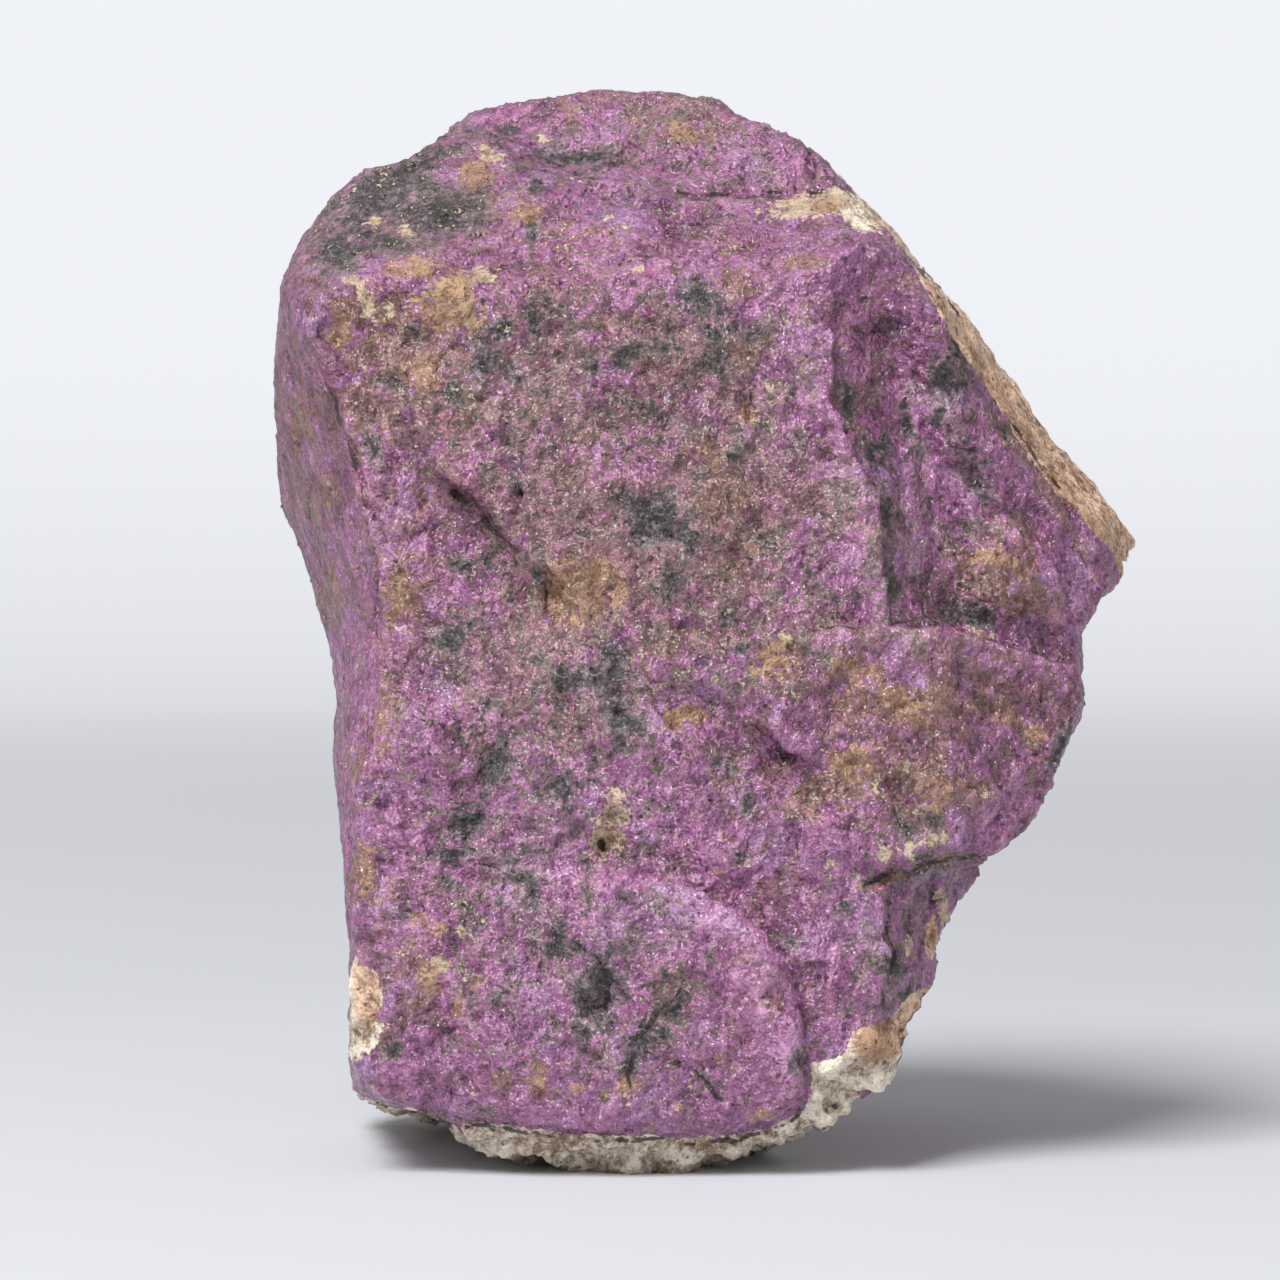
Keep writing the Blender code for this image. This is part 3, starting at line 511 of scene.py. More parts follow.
PATH_FADE = 0.5
RIND_SIDE = np.array(Vector((0.72, 0.30, 0.62)).normalized())
SLAB_STARTS, SLAB_FADE = 42.6, 1.3
SLAB_LEFT, SLAB_LEFT_FADE = 10.5, 2.0
BAND_HEIGHT, BAND_SWING, BAND_FADE = 2.6, 1.2, 1.5
SLAB_SWING, SWING_SIZE = 0.9, 6.0
LEFT_PATCH = (-22.3, -17.4, 10.6), (1.9, 2.2, 3.3)


def host_strength(points, facing):
    """Where host rock shows: rind, foot and small patches in front, a slab and a band behind."""
    across, up = seen_place(points)
    rind = from_path(RIND_EDGE, across, up)[0] / PATH_FADE
    foot = -from_path(FOOT_EDGE, across, up)[0] / PATH_FADE
    foot = np.where((across > 3.0) | (up < 6.0), foot, -1.0)
    front = np.maximum(np.maximum(rind, foot), patch_strength(HOST, across, up))
    uneven = slow_noise(points, SWING_SIZE, 0.5, 21.0)
    contact = (points @ RIND_SIDE - SLAB_STARTS) / SLAB_FADE
    from_left = (points[:, 0] - SLAB_LEFT) / SLAB_LEFT_FADE
    slab = np.minimum(contact, from_left) + SLAB_SWING * uneven
    band = (BAND_HEIGHT + BAND_SWING * uneven - points[:, 2]) / BAND_FADE
    middle, half_sizes = np.array(LEFT_PATCH)
    wrapped = 1.0 - np.sum(((points - middle) / half_sizes) ** 2, axis=1)
    found = np.where(facing > 0.3, front, np.maximum(slab, band))
    return np.clip(np.maximum(found, wrapped), -1.0, 1.0)


# %% [markdown]
# ## The relief
#
# Purpurite breaks along many small cleavages, so its fracture is a patchwork of tiny tilted
# flats with steps between them. A Voronoi pattern does that well: each cell gets a plane with a
# tilt of its own. Three sizes of cell, some ridged noise and, on the left side and the scar's
# wall, fine upright striations make the surface. Host rock is lumpy and crumbly instead.

# %% Move the surface
FLAT_SIZES = [(3.2, 0.15), (1.5, 0.26), (0.72, 0.40)]
SCAR_WALL = [(12.7, 34.7), (12.2, 39.6), (11.9, 43.0), (10.6, 46.0), (9.1, 48.6), (8.8, 53.2)]
RIDGE_SIZE, RIDGE_HEIGHT = 1.3, 0.08
RIB_SPACING, RIB_LENGTH, RIB_HEIGHT = 0.7, 6.0, 0.12
PIT_SPACING, PIT_DEPTH = 1.9, 0.35
LUMP_SIZE, LUMP_HEIGHT = 2.0, 0.85
CRUMB_SIZE, CRUMB_DEPTH = 0.7, 0.50
STEP_SHARPNESS = 0.18
CRACK_FLANK = 0.13


def tilted_flats(points, size, tilt):
    """Height in mm of a patchwork of tilted planes, each about this wide."""
    height = np.empty(len(points))
    for i, place in enumerate(points / size):
        centre = noise.voronoi(place)[1][0]
        lean = noise.noise_vector(centre * 7.31 + Vector((3.1, 5.7, 1.9)))
        height[i] = lean.dot(Vector(place) - centre)
    return height * tilt * size


def striations(points):
    """Fine upright ribs, about 0.7 mm apart."""
    stretched = points / np.array([RIB_SPACING, RIB_SPACING, RIB_LENGTH])
    return np.array([noise.ridged_multi_fractal(p, 1.0, 2.0, 2, 1.0, 2.0) for p in stretched]) - 1.0


def scattered_pits(points):
    """Depth in mm of small round pits: some cells of a Voronoi pattern have one, most have none."""
    depth = np.zeros(len(points))
    for i, place in enumerate(points / PIT_SPACING + 17.0):
        distances, centres = noise.voronoi(place)
        size = 0.30 * noise.noise(centres[0] * 5.3)
        if size > 0.03:
            depth[i] = PIT_DEPTH * max(0.0, 1.0 - distances[0] / (size + 0.08)) ** 0.7
    return depth


def step_height(across, up):
    """Height in mm from the traced steps."""
    height = np.zeros(across.shape)
    for path, rise, reach in STEPS:
        signed, _, taper = from_path(path, across, up)
        fade = np.exp(-np.abs(signed) / reach)
        height += 0.5 * rise * taper * np.tanh(signed / STEP_SHARPNESS) * fade
    return height


def hole_depth(across, up):
    """Depth in mm of the placed holes."""
    depth = np.zeros(across.shape)
    for x, z, half_width, half_height, deep in HOLES:
        depth += deep * np.exp(-(((across - x) / half_width) ** 2 + ((up - z) / half_height) ** 2))
    return depth


points, normals = mesh_points(stone.data)
facing = facing_front(points, normals)
across, up = jagged(points, *seen_place(points))
hosted = np.clip(0.5 + host_strength(points, facing), 0.0, 1.0)
on_left = np.clip((-normals[:, 0] - 0.45) / 0.3, 0.0, 1.0)
on_wall = facing * np.exp(-((from_path(SCAR_WALL, across, up)[0] + 1.8) / 1.6) ** 2)
ribbed = np.clip(on_left + on_wall, 0.0, 1.0) * (1.0 - hosted)

flats = sum(tilted_flats(points, size, tilt) for size, tilt in FLAT_SIZES)
spots = points / RIDGE_SIZE
ridges = np.array([noise.ridged_multi_fractal(p, 0.9, 2.1, 3, 1.0, 2.0) for p in spots]) - 1.2
lumps = np.array([noise.fractal(p, 0.8, 2.2, 3) for p in points / LUMP_SIZE + 40.0])
crumbs = np.array([noise.turbulence(p, 2, False) for p in points / CRUMB_SIZE + 9.0])
broken = (1.0 - 0.6 * ribbed) * (flats + RIDGE_HEIGHT * ridges)
broken += RIB_HEIGHT * ribbed * striations(points)
on_rind = np.clip((points[:, 2] - 32.0) / 4.0, 0.0, 1.0)
crumbly = LUMP_HEIGHT * lumps - CRUMB_DEPTH * np.clip(crumbs - 0.40, 0.0, 1.0)
crumbly *= 1.0 - 0.70 * on_rind
relief = (1.0 - hosted) * (broken - scattered_pits(points)) + hosted * crumbly
relief += facing * (step_height(across, up) - hole_depth(across, up))
distance, width, depth, _ = nearest_crack(points, facing)
relief -= depth * np.exp(-((distance / (width + CRACK_FLANK)) ** 2))
moved = points + normals * relief[:, None]
moved[:, 2] = np.maximum(moved[:, 2], 0.0)
resting = (points[:, 2] < 0.4) & (normals[:, 2] < -0.7)
moved[resting, 2] = 0.0
stone.data.vertices.foreach_set("co", (moved * MM).astype(np.float32).ravel())
stone.data.update()
print("relief from", round(relief.min(), 2), "to", round(relief.max(), 2), "mm")

broad = KDTree(len(moved))
for i, place in enumerate(moved):
    broad.insert(place, i)
broad.balance()
broad_normals, broad_relief = normals, relief

# %% [markdown]
# The mesh is now finer than it needs to be on its flatter parts. Decimation merges points where
# that changes the shape least, so the detail is kept with fewer triangles.

# %% Thin the mesh
MOST_TRIANGLES = 192000
triangles = 2 * len(stone.data.polygons)
if triangles > MOST_TRIANGLES:
    apply_modifier(stone, "DECIMATE", ratio=MOST_TRIANGLES / triangles)
stone.data.shade_smooth()
print("stone:", len(stone.data.vertices), "points,", len(stone.data.polygons), "faces")

# %% [markdown]
# ## Strengths on the mesh
#
# The material reads these numbers at every point of the mesh: one strength for each kind of
# mark, the relief's height, and the way to the nearest crack with its width. The height makes
# hollows darker and proud parts paler, which is painted shade and light. Edges that catch the
# light, each a path with a width, get a painted highlight, so they count as higher.

# %% Write the strengths
# Painted highlights: these edges catch the light, so the material paints them paler.
EDGE_HIGHLIGHT = 0.75
LIT_EDGES = [
    ([(-2.4, 16.4), (1.6, 14.4), (3.9, 11.6), (4.9, 8.4), (4.8, 4.6)], 1.4),
    ([(6.9, 54.4), (8, 51.8), (8.4, 48.8), (10.1, 45), (10.9, 41), (11.5, 37.5),
      (12, 35.2)], 0.8),
    ([(14.4, 48.6), (15.2, 46.6), (16.6, 44.6), (17.9, 42.6)], 0.6),
    ([(18, 41.4), (20.6, 41.6), (23.2, 38.6), (24.3, 35.4)], 0.6),
    ([(7, 33.8), (10, 34), (12.8, 34.2), (16.2, 34), (19.5, 33), (22.6, 32.2)], 0.45),
    ([(-13, 58), (-6, 58.4), (0, 58.8), (6, 58.8)], 0.9),
    ([(-23, 44), (-22, 40), (-21.6, 34), (-22.2, 26)], 0.7),
]
PROUD = 0.3
BARE_WHERE_PROUD = 0.12


def write_numbers(mesh, name, values):
    """Stores one number, or one vector, for each point of a mesh."""
    kind, key = ("FLOAT", "value") if values.ndim == 1 else ("FLOAT_VECTOR", "vector")
    layer = mesh.attributes.new(name, kind, "POINT")
    layer.data.foreach_set(key, values.astype(np.float32).ravel())


points, _ = mesh_points(stone.data)
nearest = [broad.find(place)[1] for place in points]
normals, relief = broad_normals[nearest], broad_relief[nearest]
facing = facing_front(points, normals)
across, up = seen_place(points)
KINDS = {
    "oxide": (OXIDE, OXIDE_FLECKS, 4, 0.14, 11),
    "rust": (RUST, [], 5, 0.26, 23),
    "ochre": (OCHRE, [], 3, 0.08, 37),
    "cream": (CREAM, CREAM_FLECKS, 2, 0.03, 51),
}
for name, (patches, flecks, size, share, seed) in KINDS.items():
    behind = slow_noise(points, size, share, seed)
    front = patch_strength(patches, across, up)
    if flecks:
        scattered = np.minimum(0.8 * patch_strength(flecks, across, up, 3.0), 0.0)
        front = np.maximum(front, scattered + FLECK_STRENGTH[name])
        behind = np.maximum(behind, FLECK_STRENGTH[name] - 0.1)
    strength = facing * front + (1.0 - facing) * behind
    write_numbers(stone.data, name, np.clip(strength, -1.5, 1.0))
    print(name, "covers", round(float((strength > 0).mean()) * 100), "% of the stone's points")
write_numbers(stone.data, "host", host_strength(points, facing))

along_rind = from_path(RIND_EDGE, across, up)[0] + 1.0
in_patch = 1.0 + 2.0 * patch_strength(WARM, across, up)
warm_front = np.clip(np.maximum(along_rind, in_patch), 0.0, 1.0)
warm_behind = np.clip(0.35 + 0.40 * slow_noise(points, 8.0, 0.5, 33.0), 0.0, 1.0)
warm = facing * warm_front + (1.0 - facing) * warm_behind
write_numbers(stone.data, "warmth", warm * np.clip((points[:, 2] - 3.0) / 2.0, 0.0, 1.0))

browned = np.full(len(points), FILM_LEAST)
for x, z, half_width, half_height, more in FILM:
    browned += more * np.exp(-(((across - x) / half_width) ** 2 + ((up - z) / half_height) ** 2))
drift = np.array([noise.noise(p) for p in points / 7.0 + 63.0])
raised = np.clip(relief / PROUD, -1.0, 1.0)
film = facing * browned + (1.0 - facing) * (FILM_BEHIND + 0.5 * drift)
write_numbers(stone.data, "film", film - BARE_WHERE_PROUD * raised)
# The height is the relief plus painted highlights on edges; the material turns it into painted shade
# in hollows and painted light on proud parts.
lit_edges = sum(np.exp(-((from_path(path, across, up)[0] / width) ** 2)) for path, width in LIT_EDGES)
write_numbers(stone.data, "height", raised + EDGE_HIGHLIGHT * facing * lit_edges)
distance, width, _, spot = nearest_crack(points, facing)
crack_way = np.column_stack([spot[:, 0], np.zeros(len(spot)), spot[:, 1]])
write_numbers(stone.data, "crack_way", crack_way)
write_numbers(stone.data, "crack_width", np.where(distance < 1.0, width, 0.0))

# %% [markdown]
# ## Colours and nodes
#
# Colours are written as sRGB hex and turned to linear light once. One function adds a node: its
# settings are given by name, and its inputs as values or as other nodes' outputs.

# %% Colour and node helpers
def linear(hex_colour):
    """A linear RGBA colour from sRGB hex such as '#8F6985'."""
    channels = [int(hex_colour[i : i + 2], 16) / 255 for i in (1, 3, 5)]
    return [c / 12.92 if c <= 0.04045 else ((c + 0.055) / 1.055) ** 2.4 for c in channels] + [1.0]


def add_node(tree, kind, inputs=None, **settings):
    """Adds a node, sets its settings, and sets or links its inputs."""
    made = tree.nodes.new(kind)
    for name, value in settings.items():
        setattr(made, name, value)
    for key, value in (inputs or {}).items():
        if isinstance(value, bpy.types.NodeSocket):
            tree.links.new(value, made.inputs[key])
        else:
            made.inputs[key].default_value = value
    return made


# %% [markdown]
# ## Natural purpurite, weathered
#
# The mineral is violet, with a silky glitter from thousands of cleavage flats a tenth of a
# millimetre wide. Its refractive index is high, about 1.85, so the flats flash. Hollows get
# painted shade and proud grains a painted highlight. Manganese oxide is dull charcoal, iron oxide
# a thin brown film, and the crust and the host rock are pale, matt and granular.

# %% Start the material
VIOLET_DEEP, VIOLET, VIOLET_PALE = "#4A1A42", "#A86194", "#DFA2CA"

finish = bpy.data.materials.new("Natural purpurite with oxide, rust and host rock")
finish.use_nodes = True
tree = finish.node_tree
surface = tree.nodes["Principled BSDF"]
surface.inputs["IOR"].default_value = 1.85
surface.inputs["Specular IOR Level"].default_value = 0.3



def output_of(kind, inputs=None, output=0, **settings):
    """Adds a node to the stone's material and gives one of its outputs."""
    return add_node(tree, kind, inputs, **settings).outputs[output]


place = output_of("ShaderNodeTexCoord", output="Object")
in_mm = output_of("ShaderNodeVectorMath", {0: place, 3: 1.0 / MM}, operation="SCALE")


def attribute(name, output="Fac"):
    """One of the numbers that the mesh carries."""
    return output_of("ShaderNodeAttribute", output=output, attribute_name=name)


def soft_step(value, low, high):
    """0 below low, 1 above high, and smooth between."""
    inputs = {"Value": value, "From Min": low, "From Max": high}
    return output_of("ShaderNodeMapRange", inputs, interpolation_type="SMOOTHSTEP")


def scaled(value, by, plus=0.0):
    """value * by + plus."""
    return output_of("ShaderNodeMath", {0: value, 1: by, 2: plus}, operation="MULTIPLY_ADD")


# %% [markdown]
# Noise at four real sizes does most of the work: mottles a few millimetres wide, clots of one to
# two millimetres, grains of half a millimetre, and the finest grit that the picture can show.
# There are two sets, because the stain's edges don't follow the violet's own light and dark.

# %% Add the noises
NOISE_SIZES = {"mottle": (4.6, 2.0), "clot": (1.5, 2.0), "grain": (0.50, 2.0), "grit": (0.17, 1.0)}
violet_noise, stain_noise = {}, {}
ELSEWHERE = (31.0, 57.0, 13.0)
elsewhere = output_of("ShaderNodeVectorMath", {0: in_mm, 1: ELSEWHERE}, operation="ADD")
for name, (size, detail) in NOISE_SIZES.items():
    for found, where in ((violet_noise, in_mm), (stain_noise, elsewhere)):
        inputs = {"Vector": where, "Scale": 1.0 / size, "Detail": detail, "Roughness": 0.62}
        found[name] = output_of("ShaderNodeTexNoise", inputs, "Fac")


def sum_of_noises(found, weights, start):
    """A number that swings evenly about its start, which is a value or a node's output."""
    total = start
    for name, weight in weights.items():
        total = scaled(found[name], weight, total)
    middle = 0.5 * sum(weights.values())
    return output_of("ShaderNodeMath", {0: total, 1: middle}, operation="SUBTRACT")


# %% [markdown]
# Each mask is its strength plus noise, cut off sharply, so a patch breaks up into grains towards
# its limit. The thin film's strength is its density, so about that share of the grains is brown.
# Oxide has a paler rim and a darker core, and the violet has blue patches of its own.

# %% Turn the strengths into ragged masks
RAGGED = {
    "film": ({"mottle": 1.4, "clot": 1.8, "grain": 1.7, "grit": 1.0}, 0.22, 0.76),
    "rust": ({"clot": 2.8, "grain": 1.8, "grit": 0.8}, -0.10, 0.45),
    "oxide": ({"clot": 3.2, "grain": 2.4, "grit": 1.0}, -0.08, 0.24),
    "ochre": ({"clot": 2.6, "grain": 1.9, "grit": 0.9}, -0.02, 0.36),
    "cream": ({"clot": 1.2, "grain": 2.4, "grit": 0.8}, 0.02, 0.25),
    "host": ({"clot": 1.2, "grain": 1.0}, -0.05, 0.08),
}
masks, sums = {}, {}
for name, (weights, low, high) in RAGGED.items():
    sums[name] = sum_of_noises(stain_noise, weights, attribute(name))
    masks[name] = soft_step(sums[name], low, high)
rim = soft_step(sums["oxide"], -0.55, -0.15)
not_oxide = scaled(masks["oxide"], -1.0, 1.0)
masks["rim"] = output_of("ShaderNodeMath", {0: rim, 1: not_oxide}, operation="MULTIPLY")
masks["core"] = soft_step(sums["oxide"], 0.25, 0.85)
masks["blue"] = soft_step(violet_noise["mottle"], 0.46, 0.68)
stained = {0: masks["host"], 1: attribute("warmth")}
masks["warm host"] = output_of("ShaderNodeMath", stained, operation="MULTIPLY")

# %% [markdown]
# A crack is drawn as painted shade, from the way to its path. The length of that way, less half
# the crack's width, is how far a point is from its edge. Noise opens and closes it along its length.

# %% Draw the cracks
CRACK_SOFTNESS = 0.05
crack_way = {0: attribute("crack_way", "Vector")}
crack_distance = output_of("ShaderNodeVectorMath", crack_way, "Value", operation="LENGTH")
uneven = soft_step(stain_noise["clot"], 0.38, 0.60)
widened = {0: attribute("crack_width"), 1: uneven}
crack_reach = output_of("ShaderNodeMath", widened, operation="MULTIPLY")
crack_inside = output_of("ShaderNodeMath", {0: crack_reach, 1: crack_distance}, operation="SUBTRACT")
masks["crack"] = soft_step(crack_inside, -0.4 * CRACK_SOFTNESS, 1.6 * CRACK_SOFTNESS)

# %% [markdown]
# Pores are tiny pits between the grains, painted as dark specks of shade. About one cell in three
# of a Voronoi pattern has one.

# %% Add the pores
PORE_SPACING, PORE_SIZE = 0.62, 0.36
COMMON_FROM = 0.62
cells = {"Vector": elsewhere, "Scale": 1.0 / PORE_SPACING}
pores = add_node(tree, "ShaderNodeTexVoronoi", cells, feature="F1")
chance = output_of("ShaderNodeSeparateColor", {0: pores.outputs["Color"]})
sizes = {"Value": chance, "From Min": COMMON_FROM, "From Max": 1.0, "To Min": 0.0, "To Max": PORE_SIZE}
pore_size = output_of("ShaderNodeMapRange", sizes)
ragged_size = scaled(stain_noise["grit"], 0.5, pore_size)
from_middle = {0: ragged_size, 1: pores.outputs["Distance"]}
pore_inside = output_of("ShaderNodeMath", from_middle, operation="SUBTRACT")
masks["pore_shade"] = soft_step(pore_inside, 0.22, 0.38)

# %% [markdown]
# The violet breaks into upright splinters about 0.35 mm wide and twice as long, and those lie in
# plates 1.2 mm wide. Each has its own tone, and its own tilt for the light. Noise bends their
# edges, and a turn keeps the pattern's grid from lining up with the stone's axes.

# %% Add the plates and splinters
SPLINTER_WIDTH, SPLINTER_LENGTH = 0.34, 0.75
PLATE_WIDTH, PLATE_LENGTH = 1.2, 2.0
EDGE_BEND, GRID_TURN = 2.4, 0.35


def upright_cells(width, length):
    """Colours of Voronoi cells this wide and long, with edges made uneven by the noise."""
    bent = scaled(violet_noise["clot"], EDGE_BEND)
    shifted = output_of("ShaderNodeVectorMath", {0: in_mm, 1: bent}, operation="ADD")
    sizes = {"Rotation": (0.0, GRID_TURN, 0.0), "Scale": (1.0 / width, 1.0 / width, 1.0 / length)}
    turned = output_of("ShaderNodeMapping", {"Vector": shifted, **sizes})
    return output_of("ShaderNodeTexVoronoi", {"Vector": turned, "Scale": 1.0}, "Color", feature="F1")


splinters = upright_cells(SPLINTER_WIDTH, SPLINTER_LENGTH)
plates = upright_cells(PLATE_WIDTH, PLATE_LENGTH)
splinter_tone = output_of("ShaderNodeSeparateColor", {0: splinters}, 1)
plate_tone = output_of("ShaderNodeSeparateColor", {0: plates}, 1)

# %% Colour the violet
SHADE_WEIGHTS = {"mottle": 0.5, "clot": 0.7, "grain": 0.7, "grit": 0.8}
GRAINY_WEIGHTS = {"clot": 1.4, "grain": 1.7, "grit": 1.0}
# The height paints shade into hollows and light onto proud parts and lit edges, in the violet and,
# more weakly, in the crust and host rock.
relief_shade_and_highlight = scaled(attribute("height"), 0.14, 0.33)
cell_tone_and_relief_shade = scaled(plate_tone, 0.12, scaled(splinter_tone, 0.22, relief_shade_and_highlight))
shade = sum_of_noises(violet_noise, SHADE_WEIGHTS, cell_tone_and_relief_shade)
grain_and_relief_shade = sum_of_noises(stain_noise, GRAINY_WEIGHTS, scaled(attribute("height"), 0.2, 0.64))
violet = add_node(tree, "ShaderNodeValToRGB", {"Fac": shade})
stops = violet.color_ramp.elements
stops[0].position, stops[0].color = 0.05, linear(VIOLET_DEEP)
stops[1].position, stops[1].color = 0.95, linear(VIOLET_PALE)
stops.new(0.50).color = linear(VIOLET)
colour = violet.outputs["Color"]

# %% [markdown]
# The marks lie over the violet in the order of this list. Each has a dark and a light colour and
# how much it covers. The violet's own shade mixes the two, or for what is granular the stain's.

# %% Lay the marks over the violet
LAYERS = [
    ("blue", "#33204A", "#AE98CC", 0.32),
    ("film", "#47262A", "#AE7A70", 0.80),
    ("rust", "#5A382E", "#B68A74", 0.74),
    ("rim", "#54423E", "#A8908A", 0.60),
    ("oxide", "#30282A", "#8A7F7E", 0.86),
    ("core", "#181415", "#484342", 0.88),
    ("cream", "#8E7058", "#E8D4B4", 0.86),
    ("host", "#987862", "#FFF2DE", 1),
    ("warm host", "#9C6A50", "#F6CAAA", 0.80),
    ("ochre", "#7C543A", "#D8A880", 0.68),
    # Painted shade: the dark of tiny pits.
    ("pore_shade", "#241619", "#3A2628", 0.75),
    # Painted shade: the dark inside cracks and along the lines of shade.
    ("crack", "#241417", "#3A2426", 0.85),
]
GRAINY = ("cream", "host", "warm host")
for name, dark, light, cover in LAYERS:
    mixed = soft_step(grain_and_relief_shade if name in GRAINY else shade, 0.02, 0.98)
    ends = {"Factor": mixed, "A": linear(dark), "B": linear(light)}
    tint = output_of("ShaderNodeMix", ends, "Result", data_type="RGBA")
    over = {"Factor": scaled(masks[name], cover), "A": colour, "B": tint}
    colour = output_of("ShaderNodeMix", over, "Result", data_type="RGBA")
tree.links.new(colour, surface.inputs["Base Color"])

# %% [markdown]
# ## Gloss and the finest relief
#
# The violet and the film are half glossy, and oxide, crust and host rock matt. Grains finer than
# the mesh are a bump, and each plate and splinter tilts the surface its own way. The glitter is a
# clear coat whose normals also follow flats 0.15 mm wide, so that a few of them catch the lamp.

# %% Set the gloss
ROUGHNESSES = {"film": 0.55, "oxide": 0.60, "cream": 0.85, "host": 0.85, "crack": 0.9}
VIOLET_ROUGHNESS = 0.46
roughness = VIOLET_ROUGHNESS
for name, value in ROUGHNESSES.items():
    ends = {"Factor": masks[name], "A": roughness, "B": value}
    roughness = output_of("ShaderNodeMix", ends, data_type="FLOAT")
tree.links.new(roughness, surface.inputs["Roughness"])

# %% Tilt the flats and add the glitter
FLAKE_SIZE = 0.15
FLAKE_LEAN, FLAKE_LEAN_BELOW, SPLINTER_TILT, PLATE_TILT = 0.9, 0.30, 0.75, 0.45
BUMP_WEIGHTS = {"clot": 1.1, "grain": 1.1, "grit": 0.2}
BUMP_HEIGHT = 0.30
COAT, COAT_ROUGHNESS, COAT_IOR = 0.80, 0.12, 1.6


def leaning(normal, cell_colours, amount):
    """A normal, with a lean of its own for each cell of a Voronoi pattern."""
    off_middle = {0: cell_colours, 1: (0.5, 0.5, 0.5)}
    lean = output_of("ShaderNodeVectorMath", off_middle, operation="SUBTRACT")
    tilted = output_of("ShaderNodeVectorMath", {0: lean, 3: amount}, operation="SCALE")
    added = output_of("ShaderNodeVectorMath", {0: normal, 1: tilted}, operation="ADD")
    return output_of("ShaderNodeVectorMath", {0: added}, operation="NORMALIZE")


height = sum_of_noises(violet_noise, BUMP_WEIGHTS, 0.0)
bump = output_of("ShaderNodeBump", {"Strength": 1.0, "Distance": BUMP_HEIGHT * MM, "Height": height})
flakes = {"Vector": in_mm, "Scale": 1.0 / FLAKE_SIZE}
flakes = output_of("ShaderNodeTexVoronoi", flakes, "Color", feature="F1")
splintered = leaning(leaning(bump, plates, PLATE_TILT), splinters, SPLINTER_TILT)
tree.links.new(leaning(splintered, flakes, FLAKE_LEAN_BELOW), surface.inputs["Normal"])
tree.links.new(leaning(splintered, flakes, FLAKE_LEAN), surface.inputs["Coat Normal"])
surface.inputs["Coat Roughness"].default_value = COAT_ROUGHNESS
surface.inputs["Coat IOR"].default_value = COAT_IOR
bare = {0: masks["host"], 1: masks["cream"]}
bare = output_of("ShaderNodeMath", bare, operation="MAXIMUM")
bare = {0: bare, 1: scaled(masks["oxide"], 0.6)}
bare = output_of("ShaderNodeMath", bare, operation="MAXIMUM")
tree.links.new(scaled(bare, -COAT, COAT), surface.inputs["Coat Weight"])
stone.data.materials.clear()
stone.data.materials.append(finish)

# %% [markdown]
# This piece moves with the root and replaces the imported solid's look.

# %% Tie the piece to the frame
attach(stone, "root")
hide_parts("purpurite")

# %% [markdown]
# ## Studio
#
# A pale round sweep stands in for the photographer's paper: a floor that curves up into a wall
# all round, so the stone can be looked at from any side. Only the floor near the stone throws
# light back on it. The rest glows by itself, as a backdrop with lamps of its own does, and is
# kept out of the stone's light, which would come flat from all sides otherwise.

# %% Build the floor and the backdrop
FLOOR_RADIUS, CURVE_STARTS, CURVE_RADIUS, WALL_TOP = 0.16, 0.9, 0.5, 2.4
SIDES, CURVE_STEPS = 96, 16
GLOW_STARTS, GLOW_FULL, GLOW = 0.12, 1.20, 0.57


def round_sheet(name, profile):
    """A sheet turned round the Z axis from (radius, height) pairs, as an object of the stage."""
    corners, faces = [], []
    for radius, height in profile:
        for i in range(SIDES):
            angle = 2 * math.pi * i / SIDES
            corners.append((radius * math.cos(angle), radius * math.sin(angle), height))
    for level in range(len(profile) - 1):
        low, high = level * SIDES, (level + 1) * SIDES
        for i in range(SIDES):
            j = (i + 1) % SIDES
            faces.append((low + i, high + i, high + j, low + j))
    if profile[0][0] < 0.01:
        faces.append(tuple(range(SIDES)))
    mesh = bpy.data.meshes.new(name)
    mesh.from_pydata(corners, [], faces)
    mesh.shade_smooth()
    sheet = bpy.data.objects.new(name, mesh)
    bpy.context.scene.collection.objects.link(sheet)
    mesh.materials.append(paper)
    return sheet


paper = bpy.data.materials.new("Pale matt paper")
paper.use_nodes = True
paper_surface = paper.node_tree.nodes["Principled BSDF"]
paper_surface.inputs["Base Color"].default_value = linear("#E2E4E9")
paper_surface.inputs["Roughness"].default_value = 0.9
paper_surface.inputs["Specular IOR Level"].default_value = 0.2
paper_surface.inputs["Emission Color"].default_value = linear("#F1F3F8")
sheet_tree = paper.node_tree
on_paper = add_node(sheet_tree, "ShaderNodeTexCoord").outputs["Object"]
outward = add_node(sheet_tree, "ShaderNodeVectorMath", {0: on_paper}, operation="LENGTH")
rise = {"From Min": GLOW_STARTS, "From Max": GLOW_FULL, "To Max": GLOW}
glow = add_node(sheet_tree, "ShaderNodeMapRange", {"Value": outward.outputs["Value"], **rise})
sheet_tree.links.new(glow.outputs[0], paper_surface.inputs["Emission Strength"])

round_sheet("paper_floor", [(0.005, 0.0), (0.08, 0.0), (FLOOR_RADIUS, 0.0)])
curve = [(FLOOR_RADIUS, 0.0), (0.35, 0.0), (0.6, 0.0), (CURVE_STARTS, 0.0)]
for step in range(1, CURVE_STEPS + 1):
    angle = math.radians(90 * step / CURVE_STEPS)
    outer = CURVE_STARTS + CURVE_RADIUS * math.sin(angle)
    curve.append((outer, CURVE_RADIUS * (1 - math.cos(angle))))
curve.append((CURVE_STARTS + CURVE_RADIUS, WALL_TOP))
backdrop = round_sheet("paper_backdrop", curve)
backdrop.visible_diffuse = False
backdrop.visible_glossy = False

# %% [markdown]
# The main light is a soft box above, in front and to the left, so the top bevel and every edge
# that looks up are bright, and the scar's wall lies in shade. The sky is a light tent round the
# stone, a little brighter at its sides than overhead.

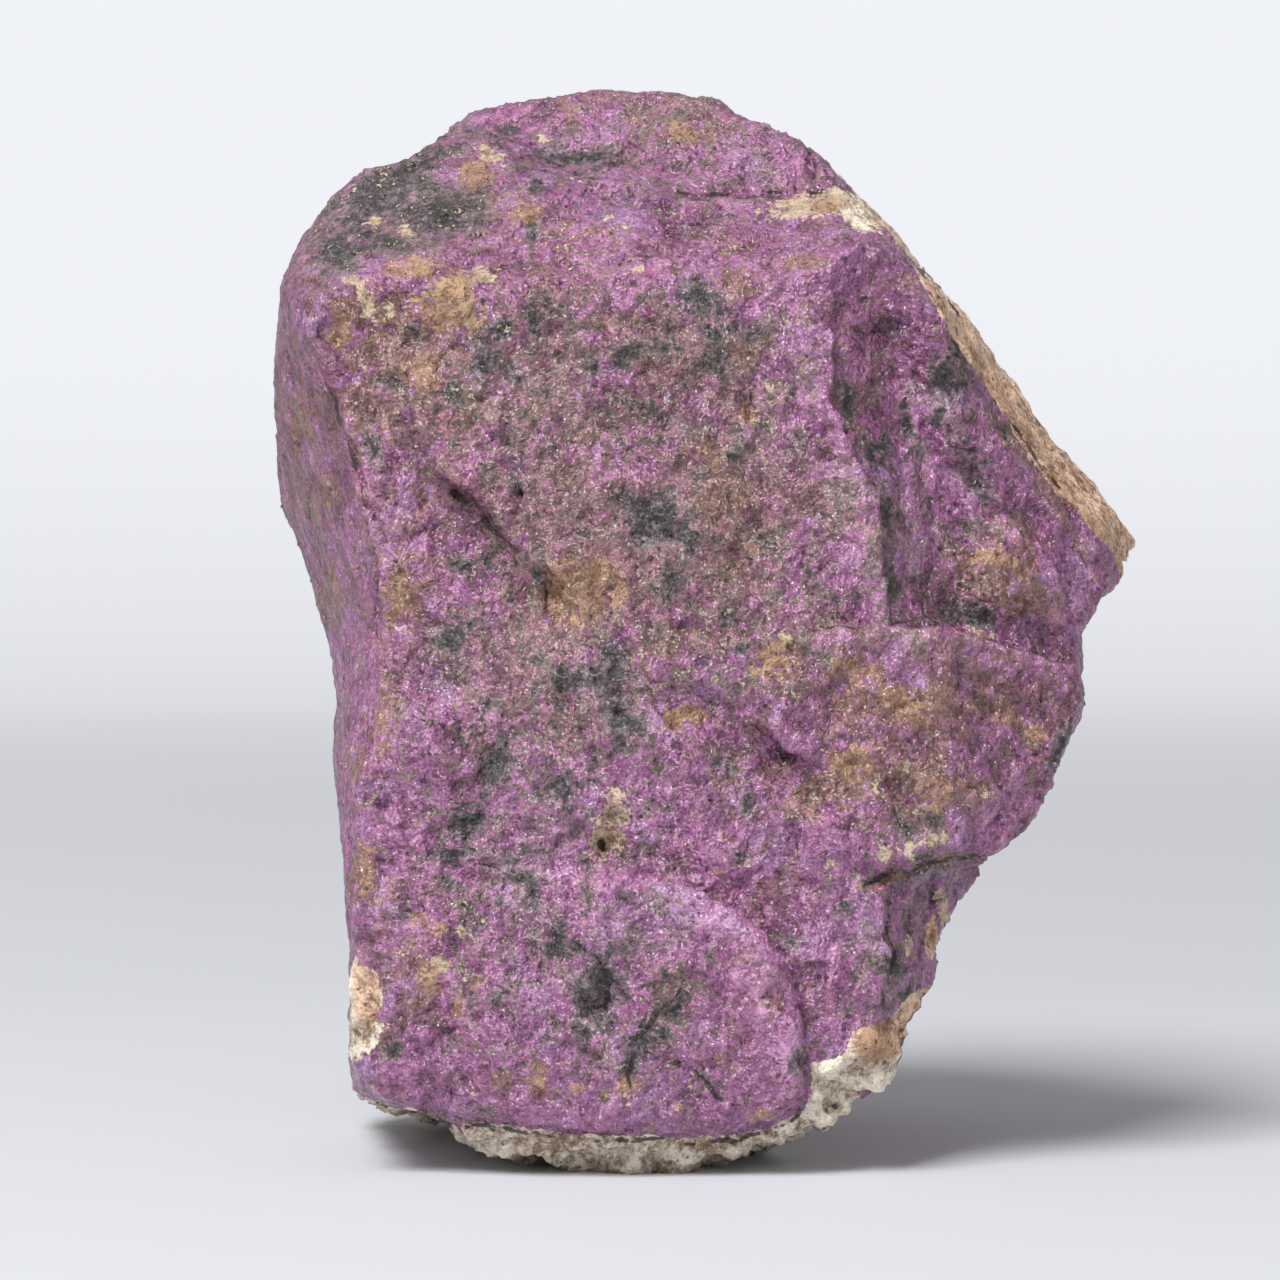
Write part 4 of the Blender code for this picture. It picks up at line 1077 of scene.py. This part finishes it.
# %% Light it
SKY_TOP, SKY_SIDE = 0.31, 0.49
KEY_POWER = 6.3
KEY_PLACE, KEY_SIZE = (-0.26, -0.42, 0.68), 0.36


def soft_box(name, place, size, power, target=(0.0, 0.0, 0.035)):
    """A square area lamp that looks at a target and isn't itself seen."""
    lamp = bpy.data.lights.new(name, "AREA")
    lamp.shape, lamp.size, lamp.energy = "SQUARE", size, power
    holder = bpy.data.objects.new(name, lamp)
    holder.location = place
    holder.rotation_euler = (Vector(place) - Vector(target)).to_track_quat("Z", "Y").to_euler()
    holder.visible_camera = False
    bpy.context.scene.collection.objects.link(holder)


soft_box("key_soft_box", KEY_PLACE, KEY_SIZE, KEY_POWER)
sky = bpy.data.worlds.new("light_tent")
sky.use_nodes = True
tent = sky.node_tree
background = tent.nodes["Background"]
background.inputs["Color"].default_value = linear("#F6F6F8")
direction = add_node(tent, "ShaderNodeTexCoord").outputs["Generated"]
upward = add_node(tent, "ShaderNodeSeparateXYZ", {0: direction}).outputs["Z"]
fall = {"From Min": -0.1, "From Max": 0.9, "To Min": SKY_SIDE, "To Max": SKY_TOP}
strength = add_node(tent, "ShaderNodeMapRange", {"Value": upward, **fall}).outputs[0]
tent.links.new(strength, background.inputs["Strength"])
bpy.context.scene.world = sky
bpy.context.scene.view_settings.view_transform = "Standard"
bpy.context.scene.cycles.diffuse_bounces = 2
bpy.context.scene.cycles.glossy_bounces = 1

# %% [markdown]
# ## Camera
#
# A long lens, level with the stone's upper half. Its place follows from the edges of what the
# stone stood on in the photograph.

# %% Place the camera
LENS, SENSOR_WIDTH, LOOKS_DOWN = 126.8, 36.0, 0.98
camera_data = bpy.data.cameras.new("camera")
camera_data.lens, camera_data.sensor_width = LENS, SENSOR_WIDTH
camera_data.clip_start, camera_data.clip_end = 0.01, 20.0
camera = bpy.data.objects.new("camera", camera_data)
camera.location = (np.array([VIEW_ACROSS, -VIEW_DISTANCE, VIEW_HEIGHT]) + SOLID_SHIFT) * MM
camera.rotation_euler = (math.radians(90 - LOOKS_DOWN), 0.0, 0.0)
bpy.context.scene.collection.objects.link(camera)
bpy.context.scene.camera = camera
